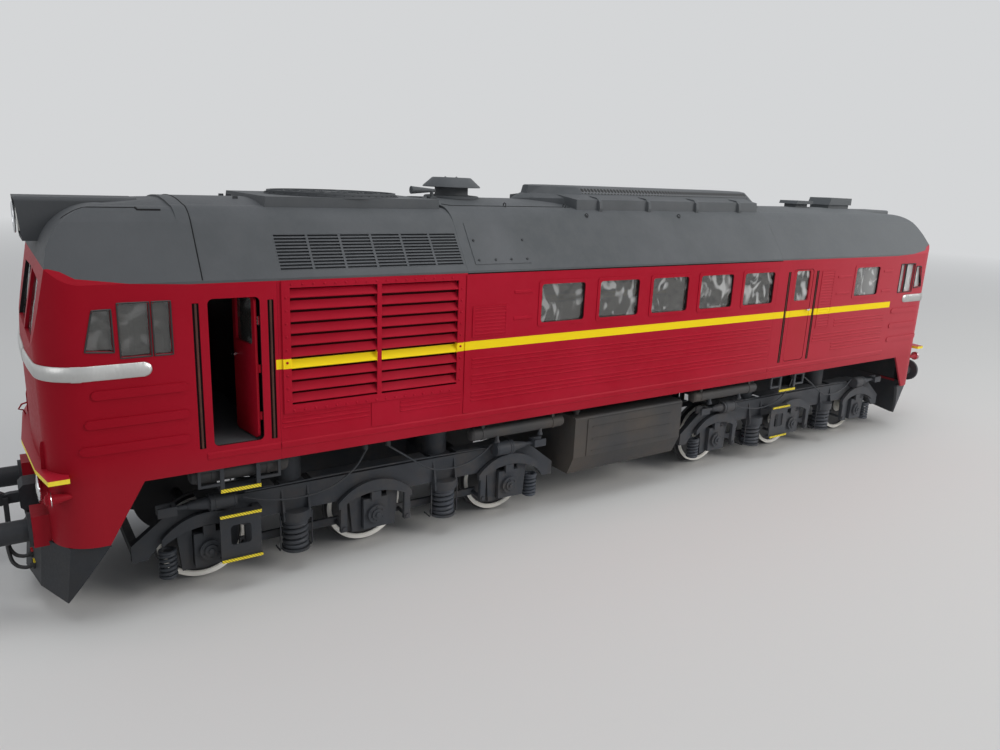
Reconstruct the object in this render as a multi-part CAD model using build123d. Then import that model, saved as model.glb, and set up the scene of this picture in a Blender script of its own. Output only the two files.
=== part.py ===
from build123d import *
from math import cos, sin, radians
import os

os.makedirs("parts", exist_ok=True)

# A scale model of a six-axle, two-cab diesel locomotive, about 1:22.5.
# X runs along the locomotive, Y across it, Z up. The origin is under its middle,
# at the lowest point of the wheel flanges. End a is at -X, end b at +X.
# All sizes are in millimetres.

# Whole vehicle
length_over_buffers = 780.0
buffer_reach = 34.2
body_width = 131.0
body_bottom = 72.4
skirt_bottom = 43.5
floor_top = 83.6
floor_thickness = 2.0
belt_height = 127.8
gutter_height = 164.2
cab_length = 65.6
bogie_overhang = 164.7
wall = 1.5
roof_wall = 1.3
seam_gap = 0.1
skin_gap = 0.04

half_width = body_width / 2
half_length = length_over_buffers / 2
nose_reach = half_length - buffer_reach
cab_seam = nose_reach - cab_length
bogie_centre = nose_reach - bogie_overhang
floor_low = floor_top - floor_thickness
beyond = 12.0

# Nose, seen from above: a shallow front arc and a round corner on each side
nose_bow = 2.0
corner_radius = 20.0

# Nose, seen from the side: how far each point is set back from the nose, and its height
screen_setback = 9.0
roof_front_setback = 10.8
roof_front_height = gutter_height + 15.8
shoulder_setback = 20.6
shoulder_height = gutter_height + 28.6
crown_setback = 38.8
crown_drop = 2.6
roof_line = [
    # set back from the nose, height of the edge between body and roof
    (41.0, gutter_height + 1.2),
    (20.1, gutter_height + 3.8),
    (14.6, gutter_height + 6.9),
    (10.6, gutter_height + 8.0),
]
screen_top = roof_line[-1][1]

# Skirt at each end, in front of the bogie
notch_top_setback = 41.0
notch_bottom_setback = 23.9

# Roof section: sloping sides, rounded shoulders, a gently crowned top
slope_foot_rise = 1.2
slope_head_y = 47.7
slope_head_z = gutter_height + 26.6
roof_edge_y = 32.3
shoulder_y = 42.7
cab_roof_edge = gutter_height + 33.2
cab_roof_crown = gutter_height + 36.0
end_roof_edge = gutter_height + 34.0
end_roof_crown = gutter_height + 37.0
engine_roof_edge = gutter_height + 35.3
engine_roof_crown = gutter_height + 39.0
front_roof_length = 149.2
rear_roof_length = 154.2
engine_roof_start = -cab_seam + front_roof_length
engine_roof_end = cab_seam - rear_roof_length
roof_ceiling = gutter_height + 60.8

# Running gear
wheel_base = 93.3
tread_radius = 23.3
flange_radius = 24.55
flange_width = 1.4
wheel_width = 5.8
wheel_back = 30.2
axle_radius = 3.0
journal_radius = 2.2
journal_clearance = 0.05
journal_reach = 50.0
axle_height = flange_radius
axle_offsets = (-wheel_base, 0.0, wheel_base)
pivot_radius = 4.0
pivot_clearance = 0.08

# Bogie side frames
frame_y = 48.0
frame_thickness = 4.0
frame_half_length = 130.0
frame_top = 50.4
frame_beam_bottom = 35.2
frame_end_bottom = 24.0
pedestal_bottom = 14.0
pedestal_half = 13.5
axlebox_half = 7.6
box_side_clearance = 0.4
jaw_top = 36.6
frame_inner = frame_y - frame_thickness / 2
frame_outer = frame_y + frame_thickness / 2

# Springs
mid_spring_x = 46.7
mid_spring_radius = 7.2
mid_spring_low = 14.0
mid_spring_high = 30.8
end_spring_x = 113.3
end_spring_radius = 4.6
end_spring_low = 11.8
end_spring_high = 27.2
spring_y = frame_y + 1.0

# Side bearings between body and bogie
stack_radius = 7.4
stack_top = 66.0
stack_y = 37.0
side_bearing_gap = 0.3

# Doors: a leaf hung on one edge, opening inwards
door_width = 24.4
door_low = 84.3
door_high = 156.9
door_corner = 2.6
door_thickness = 1.2
door_clearance = 0.35
door_open_angle = 80.0
hinge_radius = 0.65
hinge_wall_gap = 0.1
front_door_from_seam = 20.0
rear_door_from_seam = 126.3
front_door_x = -cab_seam + front_door_from_seam
rear_door_x = cab_seam - rear_door_from_seam
rail_slot_reach = (17.6, 17.4)

# Side panels: the doors sit in end panels, the windows and louvres between them
front_panel_length = 40.7
rear_panel_length = 157.2
panel_seams = (-cab_seam + front_panel_length, cab_seam - rear_panel_length)

# Side windows
window_low = 132.4
window_high = 155.8
window_width = 33.5
window_corner = 2.0
window_nominal_pitch = 45.9
first_window_x = -cab_seam + 218.3
last_middle_window_x = panel_seams[1] - 21.3
window_steps = max(1, round((last_middle_window_x - first_window_x) / window_nominal_pitch))
window_pitch = (last_middle_window_x - first_window_x) / window_steps
window_count = window_steps + 1
last_window_from_seam = 40.3
pane_thickness = 0.4
pane_lap = 1.2
frame_plate_border = 2.2
trim_proud = 0.4

# Louvres, measured back from the cab at end a
louvre_start_from_seam = 46.8
louvre_bay = 46.9
louvre_post = 2.5
louvre_low = 100.7
louvre_high = 160.5
louvre_border = 4.2
louvre_plate_proud = 0.8
slat_count = 10
slat_thickness = 0.8
slat_depth = 4.8
slat_angle = 56.0
slat_sink = 0.95
louvre_back_depth = 2.9
louvre_back_sheet = 0.6
louvre_back_rim = 1.2


def block(x0, x1, y0, y1, z0, z1):
    size = (abs(x1 - x0), abs(y1 - y0), abs(z1 - z0))
    return Pos((x0 + x1) / 2, (y0 + y1) / 2, (z0 + z1) / 2) * Box(*size)


def across(points, y0, y1):
    """A side-view outline in X and Z, run across from y0 to y1."""
    face = make_face(Polyline(*[(x, y0, z) for x, z in points], close=True))
    return extrude(face, amount=y1 - y0, dir=(0, 1, 0))


def along(points, x0, x1):
    """An end-view outline in Y and Z, run along from x0 to x1."""
    face = make_face(Polyline(*[(x0, y, z) for y, z in points], close=True))
    return extrude(face, amount=x1 - x0, dir=(1, 0, 0))


def upward(face, z0, z1):
    return extrude(Pos(0, 0, z0) * face, amount=z1 - z0, dir=(0, 0, 1))


def plan_outline(points, z0, z1):
    """An outline seen from above, run up from z0 to z1."""
    return upward(make_face(Polyline(*points, close=True)), z0, z1)


def rod(start, end, radius):
    line = Vector(*end) - Vector(*start)
    return Plane(origin=start, z_dir=line) * Cylinder(
        radius, line.length, align=(Align.CENTER, Align.CENTER, Align.MIN)
    )


def post(x, y, z0, z1, radius):
    return rod((x, y, z0), (x, y, z1), radius)


def side_plane(x, y, z):
    """A plane facing inwards from the +Y side, with its own X along the body and its own Y up."""
    return Plane(origin=(x, y, z), x_dir=(1, 0, 0), z_dir=(0, -1, 0))


def side_opening(x, z, width, height, radius):
    """A round-cornered hole through the +Y side wall."""
    hole = RectangleRounded(width, height, radius)
    return extrude(side_plane(x, half_width + beyond / 2, z) * hole, amount=beyond)


def both_sides(piece):
    return [piece, mirror(piece, about=Plane.XZ)]


def other_end(piece):
    return mirror(piece, about=Plane.YZ)


def four_corners(piece):
    pair = both_sides(piece)
    return pair + [other_end(one) for one in pair]


def save(name, *pieces):
    found = []
    for piece in pieces:
        found += piece.solids()
    export_step(Compound(children=found), f"parts/{name}.step")


# Cab and nose
def nose_plan(inset):
    """The end a body outline from above, inset by a wall."""
    y_side = half_width - inset
    radius = corner_radius - inset
    x_front = -(nose_reach - inset)
    x_bow = x_front + nose_bow
    x_corner = x_bow + radius
    y_corner = y_side - radius
    diagonal = radius * cos(radians(45))
    mid_x = x_corner - diagonal
    mid_y = y_corner + diagonal
    edges = [
        Line((0, -y_side), (x_corner, -y_side)),
        ThreePointArc((x_corner, -y_side), (mid_x, -mid_y), (x_bow, -y_corner)),
        ThreePointArc((x_bow, -y_corner), (x_front, 0), (x_bow, y_corner)),
        ThreePointArc((x_bow, y_corner), (mid_x, mid_y), (x_corner, y_side)),
        Line((x_corner, y_side), (0, y_side)),
        Line((0, y_side), (0, -y_side)),
    ]
    return make_face(Wire(edges))


def nose_profile(inset, low):
    """The end a outline from the side: upright nose, leaning screens, rounded roof front."""
    front = -(nose_reach - inset)
    screen = (-(nose_reach - screen_setback - inset), screen_top)
    roof_front = (-(nose_reach - roof_front_setback - inset), roof_front_height)
    shoulder_inset = inset * cos(radians(45))
    shoulder = (-(nose_reach - shoulder_setback - shoulder_inset), shoulder_height - shoulder_inset)
    crown = (-(nose_reach - crown_setback), cab_roof_crown - crown_drop - inset)
    seam = (-cab_seam, cab_roof_crown - inset)
    edges = [
        Line((0, low), (front, low)),
        Line((front, low), (front, belt_height)),
        Line((front, belt_height), screen),
        Line(screen, roof_front),
        ThreePointArc(roof_front, shoulder, crown),
        Line(crown, seam),
        Line(seam, (0, seam[1])),
        Line((0, seam[1]), (0, low)),
    ]
    face = Plane.XZ * make_face(Wire(edges))
    return extrude(face, amount=half_width + beyond, both=True)


def body_section(inset, low, edge, crown):
    """The body and roof outline from the end."""
    y = half_width - inset
    foot = gutter_height + slope_foot_rise
    head = (slope_head_y - inset, slope_head_z - inset * 0.4)
    shoulder = (shoulder_y - inset * 0.7, edge - 0.4 * (edge - slope_head_z) - inset * 0.7)
    top = (roof_edge_y, edge - inset)
    edges = [
        Line((-y, low), (-y, foot)),
        Line((-y, foot), (-head[0], head[1])),
        ThreePointArc((-head[0], head[1]), (-shoulder[0], shoulder[1]), (-top[0], top[1])),
        ThreePointArc((-top[0], top[1]), (0, crown - inset), top),
        ThreePointArc(top, shoulder, head),
        Line(head, (y, foot)),
        Line((y, foot), (y, low)),
        Line((y, low), (-y, low)),
    ]
    return make_face(Wire(edges))


def section_run(inset, low, edge, crown, x0, x1):
    return extrude(Plane.YZ.offset(x0) * body_section(inset, low, edge, crown), amount=x1 - x0)


def cab_solid(inset, low):
    plan = upward(nose_plan(inset), low, roof_ceiling)
    run = section_run(inset, low, cab_roof_edge, cab_roof_crown, -nose_reach - beyond, -cab_seam + seam_gap)
    return plan & run & nose_profile(inset, low)


roof_edge_points = [(-(nose_reach - setback), z) for setback, z in roof_line]
roof_zone = across(
    [
        (-cab_seam + beyond, gutter_height),
        (-cab_seam, gutter_height),
        *roof_edge_points,
        (-nose_reach - beyond, screen_top),
        (-nose_reach - beyond, roof_ceiling),
        (-cab_seam + beyond, roof_ceiling),
    ],
    -half_width - beyond,
    half_width + beyond,
)
skirt_notch = across(
    [
        (-cab_seam + beyond, skirt_bottom - 1),
        (-(nose_reach - notch_bottom_setback), skirt_bottom - 1),
        (-(nose_reach - notch_top_setback), body_bottom),
        (-cab_seam + beyond, body_bottom),
    ],
    -half_width - beyond,
    half_width + beyond,
)
quarter_light_points = [
    # set back from the nose, height
    (25.4, 153.9),
    (32.2, 154.1),
    (32.3, 135.5),
    (21.4, 136.5),
]
cab_window_table = [
    # centre set back from the nose, width
    (41.65, 12.3),
    (53.3, 7.2),
]
cab_window_mid = 144.6
cab_window_height = 24.0
screen_inner = 3.3
screen_outer = 41.5
screen_low = 136.8
screen_high = 166.2
screen_outer_high = 165.0
quarter_light_outline = [(-(nose_reach - s), z) for s, z in quarter_light_points]
quarter_light = across(quarter_light_outline, half_width - beyond, half_width + beyond)
cab_windows = [
    side_opening(-(nose_reach - setback), cab_window_mid, width, cab_window_height, 1.0)
    for setback, width in cab_window_table
]
windscreen = along(
    [
        (screen_inner, screen_low),
        (screen_outer, screen_low),
        (screen_outer, screen_outer_high),
        (screen_inner, screen_high),
    ],
    -nose_reach - beyond,
    -nose_reach + 20.0,
)
cab_openings = [quarter_light, *cab_windows, windscreen]
cab_openings += [mirror(piece, about=Plane.XZ) for piece in cab_openings]

cab_outer = cab_solid(0, skirt_bottom)
cab_inner = cab_solid(wall, skirt_bottom - 5)
cab_skin = cab_outer - cab_inner - skirt_notch
cab_shell = cab_skin - roof_zone - cab_openings
cab_roof = cab_skin & roof_zone
save("cab_shell_a", cab_shell)
save("cab_shell_b", other_end(cab_shell))
save("cab_roof_a", cab_roof)
save("cab_roof_b", other_end(cab_roof))

# Roof between the cabs: two end sections and a higher one over the engine
end_roof = (end_roof_edge, end_roof_crown)
high_roof = (engine_roof_edge, engine_roof_crown)
radiator_run = (-cab_seam + seam_gap, engine_roof_start - seam_gap)
engine_run = (engine_roof_start, engine_roof_end)
rear_run = (engine_roof_end + seam_gap, cab_seam - seam_gap)
above_gutter = block(
    -half_length, half_length, -half_width - beyond, half_width + beyond, gutter_height, roof_ceiling
)


def roof_run(shape, run):
    """One roof section: a shell with its ends open."""
    outer = section_run(0, body_bottom, *shape, *run)
    inner = section_run(roof_wall, body_bottom - 5, *shape, run[0] - 1, run[1] + 1)
    return (outer - inner) & above_gutter


radiator_solid = section_run(0, body_bottom, *end_roof, *radiator_run)
engine_solid = section_run(0, body_bottom, *high_roof, *engine_run)
rear_solid = section_run(0, body_bottom, *end_roof, *rear_run)

# Slatted panels let into both slopes of the radiator roof
grille_start_from_seam = 43.3
grille_length = 104.9
grille_low = gutter_height + 4.4
grille_high = gutter_height + 21.1
grille_x0 = -cab_seam + grille_start_from_seam
grille_run = (grille_x0, grille_x0 + grille_length)
grille_fit = 0.05
grille_depth = 1.1
grille_slot_depth = 0.8
grille_panel_count = 6
grille_slat_count = 11
grille_bar = 1.2
grille_zone = block(*grille_run, shoulder_y, half_width + beyond, grille_low, grille_high)
radiator_roof = roof_run(end_roof, radiator_run) - both_sides(grille_zone)
save("roof_radiator", radiator_roof)
save("roof_engine", roof_run(high_roof, engine_run))
save("roof_rear", roof_run(end_roof, rear_run))

grille_core = section_run(grille_depth, body_bottom - 5, *end_roof, *radiator_run)
grille_slot_floor = section_run(grille_slot_depth, body_bottom - 5, *end_roof, *radiator_run)
grille_panel = block(
    grille_run[0] + grille_fit,
    grille_run[1] - grille_fit,
    shoulder_y,
    half_width + beyond,
    grille_low + grille_fit,
    grille_high - grille_fit,
)
grille_skin = (radiator_solid - grille_core) & grille_panel
panel_pitch = grille_length / grille_panel_count
grille_slat_pitch = (grille_high - grille_low) / grille_slat_count
grille_open_share = 0.56
grille_cuts = []
for panel in range(grille_panel_count):
    for slat in range(grille_slat_count):
        x = grille_run[0] + (panel + 0.5) * panel_pitch
        z = grille_low + (slat + 0.5) * grille_slat_pitch
        half = (panel_pitch - grille_bar) / 2
        gap = grille_slat_pitch * grille_open_share / 2
        grille_cuts.append(block(x - half, x + half, shoulder_y, half_width + beyond, z - gap, z + gap))
grille_floor = (grille_slot_floor - grille_core) & grille_panel
save("roof_grilles", *both_sides(grille_skin - grille_cuts + grille_floor))

# Radiator fan: a raised bed, a flanged ring and a guard of hoops and spokes
fan_from_seam = 95.4
fan_x = -cab_seam + fan_from_seam
fan_bed_half_length = 50.0
fan_bed_half_width = 37.0
fan_bed_top = end_roof_crown + 1.7
fan_radius = 36.4
fan_flange_radius = 37.9
fan_flange_top = 203.6
fan_ring_top = 205.0
fan_ring_wall = 1.6
fan_spoke_count = 12
fan_hoops = (9.0, 18.0, 27.0)
fan_hub_radius = 4.0
guard_low = 204.0
guard_high = 204.8
guard_half = 0.45
fan_bed = across(
    [
        (fan_x - fan_bed_half_length - 1.8, slope_head_z),
        (fan_x - fan_bed_half_length, fan_bed_top),
        (fan_x + fan_bed_half_length, fan_bed_top),
        (fan_x + fan_bed_half_length + 0.6, slope_head_z),
    ],
    -fan_bed_half_width,
    fan_bed_half_width,
)
fan_bed = fan_bed & block(-cab_seam, engine_roof_start - seam_gap, -half_width, half_width, 0, roof_ceiling)
fan_flange = post(fan_x, 0, fan_bed_top - 0.5, fan_flange_top, fan_flange_radius)
fan_wall = post(fan_x, 0, fan_bed_top - 0.5, fan_ring_top, fan_radius)
fan_well = post(fan_x, 0, fan_bed_top, roof_ceiling, fan_radius - fan_ring_wall)
guard = [post(fan_x, 0, fan_bed_top - 0.5, guard_high, fan_hub_radius)]
for radius in fan_hoops:
    hoop = post(fan_x, 0, guard_low, guard_high, radius + guard_half)
    guard.append(hoop - post(fan_x, 0, guard_low - 1, guard_high + 1, radius - guard_half))
spoke_length = fan_radius - fan_ring_wall / 2
for index in range(fan_spoke_count):
    spoke = block(0, spoke_length, -guard_half, guard_half, guard_low, guard_high)
    guard.append(Pos(fan_x, 0, 0) * Rot(0, 0, index * 360 / fan_spoke_count) * spoke)
fan_ring = (fan_bed + fan_flange + fan_wall - fan_well + guard) - radiator_solid
save("fan_ring", fan_ring)

# Long raised housing over the engine: a wedge at its front, then sides with lifting straps
housing_rise = 9.5
housing_shelf_rise = 2.4
housing_front = engine_roof_start + 57.0
housing_front_half = 13.0
housing_step_x = housing_front + 12.5
housing_wide_x = housing_front + 50.6
housing_top_end = engine_roof_end - 4.0
housing_back = engine_roof_end + 12.0
housing_half = 39.0
housing_crest_half = 20.0
housing_crest_foot = 25.0
housing_crown = engine_roof_crown + housing_rise
housing_shelf = engine_roof_crown + housing_shelf_rise
housing_profile = across(
    [
        (housing_front, slope_head_z),
        (housing_front, engine_roof_crown + 1.2),
        (housing_step_x - 2.0, housing_shelf + 1.4),
        (housing_step_x, housing_crown),
        (housing_top_end, housing_crown),
        (housing_back, housing_shelf + 0.6),
        (housing_back, slope_head_z),
    ],
    -housing_half,
    housing_half,
)
housing_plan = plan_outline(
    [
        (housing_front, -housing_front_half),
        (housing_wide_x, -housing_half),
        (housing_back, -housing_half),
        (housing_back, housing_half),
        (housing_wide_x, housing_half),
        (housing_front, housing_front_half),
    ],
    slope_head_z - 5,
    roof_ceiling,
)
housing_section = along(
    [
        (-housing_half, slope_head_z),
        (-housing_half + 1.6, housing_shelf),
        (-housing_crest_foot, housing_shelf + 0.8),
        (-housing_crest_half, housing_crown - 0.8),
        (-housing_crest_half + 6.0, housing_crown),
        (housing_crest_half - 6.0, housing_crown),
        (housing_crest_half, housing_crown - 0.8),
        (housing_crest_foot, housing_shelf + 0.8),
        (housing_half - 1.6, housing_shelf),
        (housing_half, slope_head_z),
    ],
    housing_front - 1,
    housing_back + 1,
)
strap_places = (-13.8, 29.5, 76.6, 124.6)
strap_top_half = 2.8
strap_low_half = 1.0
strap_proud = 1.0
straps = []
for x in strap_places:
    strap = plan_outline(
        [
            (x - strap_low_half, housing_half + strap_proud),
            (x - strap_top_half, housing_half - 2.0),
            (x + strap_top_half, housing_half - 2.0),
            (x + strap_low_half, housing_half + strap_proud),
        ],
        slope_head_z,
        housing_shelf + 0.4,
    )
    straps += both_sides(strap)
roof_housing = (housing_profile & housing_plan & housing_section) + straps - engine_solid - rear_solid
save("roof_housing", roof_housing)

# Silencer with its flared cap
silencer_x = engine_roof_start + 27.1
stack_half_length = 11.9
stack_half_width = 13.0
silencer_base_half = (20.4, 17.0)
silencer_base_rise = 0.9
cap_rise = 6.3
cap_top_rise = 12.6
cap_low_size = (41.8, 34.0)
cap_high_size = (27.2, 24.0)
cap_low_z = engine_roof_crown + cap_rise
cap_high_z = engine_roof_crown + cap_top_rise
silencer_base = block(
    silencer_x - silencer_base_half[0],
    silencer_x + silencer_base_half[0],
    -silencer_base_half[1],
    silencer_base_half[1],
    engine_roof_edge,
    engine_roof_crown + silencer_base_rise,
)
silencer_stack = block(
    silencer_x - stack_half_length,
    silencer_x + stack_half_length,
    -stack_half_width,
    stack_half_width,
    engine_roof_edge,
    cap_low_z,
)
cap_low = Plane.XY.offset(cap_low_z) * Rectangle(*cap_low_size)
cap_high = Plane.XY.offset(cap_high_z) * Rectangle(*cap_high_size)
silencer_cap = Pos(silencer_x - 1.2, 0, 0) * loft([cap_low, cap_high])
save("silencer", silencer_base + silencer_stack + silencer_cap - engine_solid)

# Horn on its foot ahead of the silencer, and two cowls near the far cab
horn_y = -13.3
horn_rise = 4.1
horn_length = 16.0
horn_mouth = 2.3
horn_throat = 0.9
horn_foot_x = engine_roof_start + 4.4
horn_foot_half = 2.1
horn_foot_half_width = 2.5
horn_z = engine_roof_crown + horn_rise
horn_trumpet = Pos(horn_foot_x - horn_length + 2.0, horn_y, horn_z) * Rot(0, 90, 0) * Cone(
    horn_mouth, horn_throat, horn_length, align=(Align.CENTER, Align.CENTER, Align.MIN)
)
horn_stand = post(horn_foot_x, horn_y, engine_roof_edge, horn_z, 1.1)
horn_foot = block(
    horn_foot_x - horn_foot_half,
    horn_foot_x + horn_foot_half,
    horn_y - horn_foot_half_width,
    horn_y + horn_foot_half_width,
    engine_roof_edge,
    engine_roof_crown + 0.6,
)
roof_fittings = [horn_trumpet + horn_stand + horn_foot - engine_solid - radiator_solid]
cowl_table = [
    # start, end, half width, height over the roof crown, lid thickness, neck inset
    (cab_seam - 70.2, cab_seam - 47.9, 9.0, 5.3, 2.6, 3.2),
    (cab_seam - 27.2, cab_seam + 5.4, 11.0, 8.5, 6.0, 1.6),
]
for x0, x1, half, rise, lid, neck in cowl_table:
    cowl_top = end_roof_crown + rise
    lid_outline = [
        (x0, cowl_top - lid),
        (x0 + lid * 0.4, cowl_top),
        (x1, cowl_top),
        (x1, cowl_top - lid),
    ]
    cowl_lid = across(lid_outline, -half, half)
    cowl_neck = block(x0 + neck, x1 - neck, -half + neck, half - neck, cab_roof_edge, cowl_top - lid)
    roof_fittings.append(cowl_lid + cowl_neck - rear_solid - other_end(cab_outer))
save("roof_fittings", *roof_fittings)

# Headlight box over each pair of windscreens
lamp_box_half = 13.3
lamp_box_top = 199.8
lamp_box_under = 179.6
lamp_box_front_setback = 2.8
lamp_box_under_setback = 4.6
lamp_box_back_setback = 54.8
lamp_box_edge = 2.0
lamp_recess_depth = 3.0
lamp_rim = 1.3
lamp_box_front = nose_reach - lamp_box_front_setback
lamp_box = across(
    [
        (-lamp_box_front, lamp_box_top),
        (-(nose_reach - lamp_box_under_setback), lamp_box_under),
        (-(nose_reach - lamp_box_back_setback), lamp_box_under),
        (-(nose_reach - lamp_box_back_setback), lamp_box_top),
    ],
    -lamp_box_half,
    lamp_box_half,
)
lamp_box = fillet(lamp_box.edges().filter_by(Axis.X).group_by(Axis.Z)[-1], lamp_box_edge)
lamp_recess = block(
    -lamp_box_front - 3,
    -lamp_box_front + lamp_recess_depth,
    -lamp_box_half + lamp_rim,
    lamp_box_half - lamp_rim,
    lamp_box_under + lamp_rim + 0.4,
    lamp_box_top - lamp_rim,
)
lamp_box = lamp_box - cab_outer - lamp_recess
save("headlight_boxes", lamp_box, other_end(lamp_box))

# Side walls: a middle panel with windows and louvres, and an end panel round each door
last_window_x = cab_seam - last_window_from_seam
window_places = [first_window_x + index * window_pitch for index in range(window_count)]
window_mid = (window_low + window_high) / 2
window_height = window_high - window_low
door_mid = (door_low + door_high) / 2
door_height = door_high - door_low
louvre_x0 = -cab_seam + louvre_start_from_seam
louvre_x1 = louvre_x0 + 2 * louvre_bay + louvre_post
louvre_bays = [(louvre_x0, louvre_x0 + louvre_bay), (louvre_x1 - louvre_bay, louvre_x1)]
rail_slot_low = 84.0
rail_slot_high = 155.2
rail_slot_half = 1.5
rail_slot_depth = 0.9
rail_radius = 0.6
rail_shifts = (-rail_slot_reach[0], rail_slot_reach[1])
rail_places = [x + shift for x in (front_door_x, rear_door_x) for shift in rail_shifts]
gutter_groove_height = 0.6
gutter_groove_depth = 0.7
middle_run = (panel_seams[0] + seam_gap, panel_seams[1] - seam_gap)
front_run = (-cab_seam + seam_gap, panel_seams[0])
rear_panel_run = (panel_seams[1], cab_seam - seam_gap)


def wall_panel(run):
    return block(*run, half_width - wall, half_width, body_bottom, gutter_height)


def louvre_holes(grow=0.0):
    return [
        block(x0 - grow, x1 + grow, half_width - beyond, half_width + beyond, louvre_low, louvre_high)
        for x0, x1 in louvre_bays
    ]


gutter_groove = block(
    engine_roof_start,
    middle_run[1] + 1,
    half_width - gutter_groove_depth,
    half_width + 1,
    gutter_height - gutter_groove_height,
    gutter_height + 1,
)
middle_wall = wall_panel(middle_run) - louvre_holes() - gutter_groove
middle_wall -= [
    side_opening(x, window_mid, window_width, window_height, window_corner) for x in window_places
]
rail_slots = [
    block(
        x - rail_slot_half,
        x + rail_slot_half,
        half_width - rail_slot_depth,
        half_width + 1,
        rail_slot_low,
        rail_slot_high,
    )
    for x in rail_places
]
door_holes = [
    side_opening(x, door_mid, door_width, door_height, door_corner) for x in (front_door_x, rear_door_x)
]
last_window_hole = side_opening(last_window_x, window_mid, window_width, window_height, window_corner)
front_panel = wall_panel(front_run) - door_holes - rail_slots
rear_panel = wall_panel(rear_panel_run) - door_holes - rail_slots - last_window_hole
save("side_wall_right", middle_wall)
save("side_wall_left", mirror(middle_wall, about=Plane.XZ))
save("door_panels", *both_sides(front_panel), *both_sides(rear_panel))

rail_y = half_width - rail_slot_depth + rail_radius
rails = []
for x in rail_places:
    rails += both_sides(post(x, rail_y, rail_slot_low + 0.2, rail_slot_high - 0.2, rail_radius))
save("door_handrails", *rails)

# Louvres: a border plate with two bays of slanting slats, and a shallow tray behind them
plate_above = 3.4
plate_below = 4.4
louvre_plate = block(
    louvre_x0 - louvre_border,
    louvre_x1 + louvre_border,
    half_width,
    half_width + louvre_plate_proud,
    louvre_low - plate_below,
    min(louvre_high + plate_above, gutter_height - 0.1),
)
louvre_plate -= louvre_holes()
louvre_tray = block(
    louvre_x0 - louvre_back_rim,
    louvre_x1 + louvre_back_rim,
    half_width - louvre_back_depth - louvre_back_sheet,
    half_width - wall - skin_gap,
    louvre_low - louvre_back_rim,
    louvre_high + louvre_back_rim,
)
louvre_tray -= [
    block(x0, x1, half_width - louvre_back_depth, half_width, louvre_low, louvre_high)
    for x0, x1 in louvre_bays
]
louvre_pitch = (louvre_high - louvre_low) / slat_count
louvre_wall = wall_panel(middle_run) - louvre_holes()
slat_lap = 0.3
slats = []
for x0, x1 in louvre_bays:
    for index in range(slat_count):
        z = louvre_low + (index + 0.5) * louvre_pitch
        slat = Box(x1 - x0 + 2 * slat_lap, slat_depth, slat_thickness)
        turned = Pos((x0 + x1) / 2, half_width - slat_sink, z) * Rot(-slat_angle, 0, 0) * slat
        slats.append(turned - louvre_wall)
save("side_louvres", *both_sides(louvre_plate + louvre_tray + slats))

# Raised trim on the side walls: ribs, a low ridge, window plates, bars and small grilles
rib_half = 0.6
rib_crest = 0.15
ridge_mid = 79.6
ridge_half = 2.0
ridge_crest = 1.2
rib_pitch = 2.55
rib_group_tops = (114.0, 104.3, 94.1)
ribs_per_group = 3
trim_gap = 2.0


def rib(x0, x1, z, half=rib_half, crest=rib_crest, proud=trim_proud):
    """A low bead with sloping flanks on the side wall."""
    outline = [
        (half_width, z - half),
        (half_width + proud, z - crest),
        (half_width + proud, z + crest),
        (half_width, z + half),
    ]
    return along(outline, x0, x1)


louvre_plate_x0 = louvre_x0 - louvre_border
louvre_plate_x1 = louvre_x1 + louvre_border
rear_slot_x1 = rail_places[3]
rib_table = [
    # from x, to x, top of the group
    (louvre_plate_x1 + 6.5, middle_run[1] - trim_gap, rib_group_tops[0]),
    (louvre_plate_x1 + 6.5, middle_run[1] - trim_gap, rib_group_tops[1]),
    (louvre_plate_x1 + 6.5, middle_run[1] - trim_gap, rib_group_tops[2]),
    (louvre_plate_x0 - 0.6, louvre_plate_x0 + 47.0, rib_group_tops[2]),
    (louvre_plate_x1 - 39.2, louvre_plate_x1 - 0.6, rib_group_tops[2]),
    (rear_slot_x1 + 30.6, cab_seam - 6.3, rib_group_tops[0]),
    (rear_slot_x1 + 4.4, cab_seam - 6.3, rib_group_tops[1] - 1.2),
    (rear_slot_x1 + 30.6, cab_seam - 6.3, rib_group_tops[2]),
]
trim = []
for x0, x1, top in rib_table:
    for index in range(ribs_per_group):
        trim.append(rib(x0, x1, top - index * rib_pitch))

ridge_runs = [
    (front_run[0] + 0.4, front_door_x - rail_slot_reach[0] - 2.2),
    (front_door_x - rail_slot_reach[0] + 2.0, panel_seams[0] - 0.2),
    (middle_run[0] + 0.1, middle_run[1] - 0.1),
    (panel_seams[1] + 0.2, cab_seam - 0.4),
]
trim += [rib(x0, x1, ridge_mid, ridge_half, ridge_crest) for x0, x1 in ridge_runs if x1 - x0 > 1]


def wall_plate(x, z, width, height, radius, proud=trim_proud):
    plane = side_plane(x, half_width + proud, z)
    return extrude(plane * RectangleRounded(width, height, radius), amount=proud)


for x in [*window_places, last_window_x]:
    outline = wall_plate(
        x,
        window_mid,
        window_width + 2 * frame_plate_border,
        window_height + 2 * frame_plate_border,
        window_corner,
    )
    hole = side_opening(x, window_mid, window_width, window_height, window_corner)
    trim.append(outline - hole)

plain_plate_table = [
    # centre x, centre z, width, height, corner radius
    (louvre_plate_x0 + 56.2, 89.3, 16.4, 13.6, 0.5),
    (louvre_plate_x1 + 2.8, 122.5, 3.2, 81.0, 0.2),
]
trim += [wall_plate(*row) for row in plain_plate_table]

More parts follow.
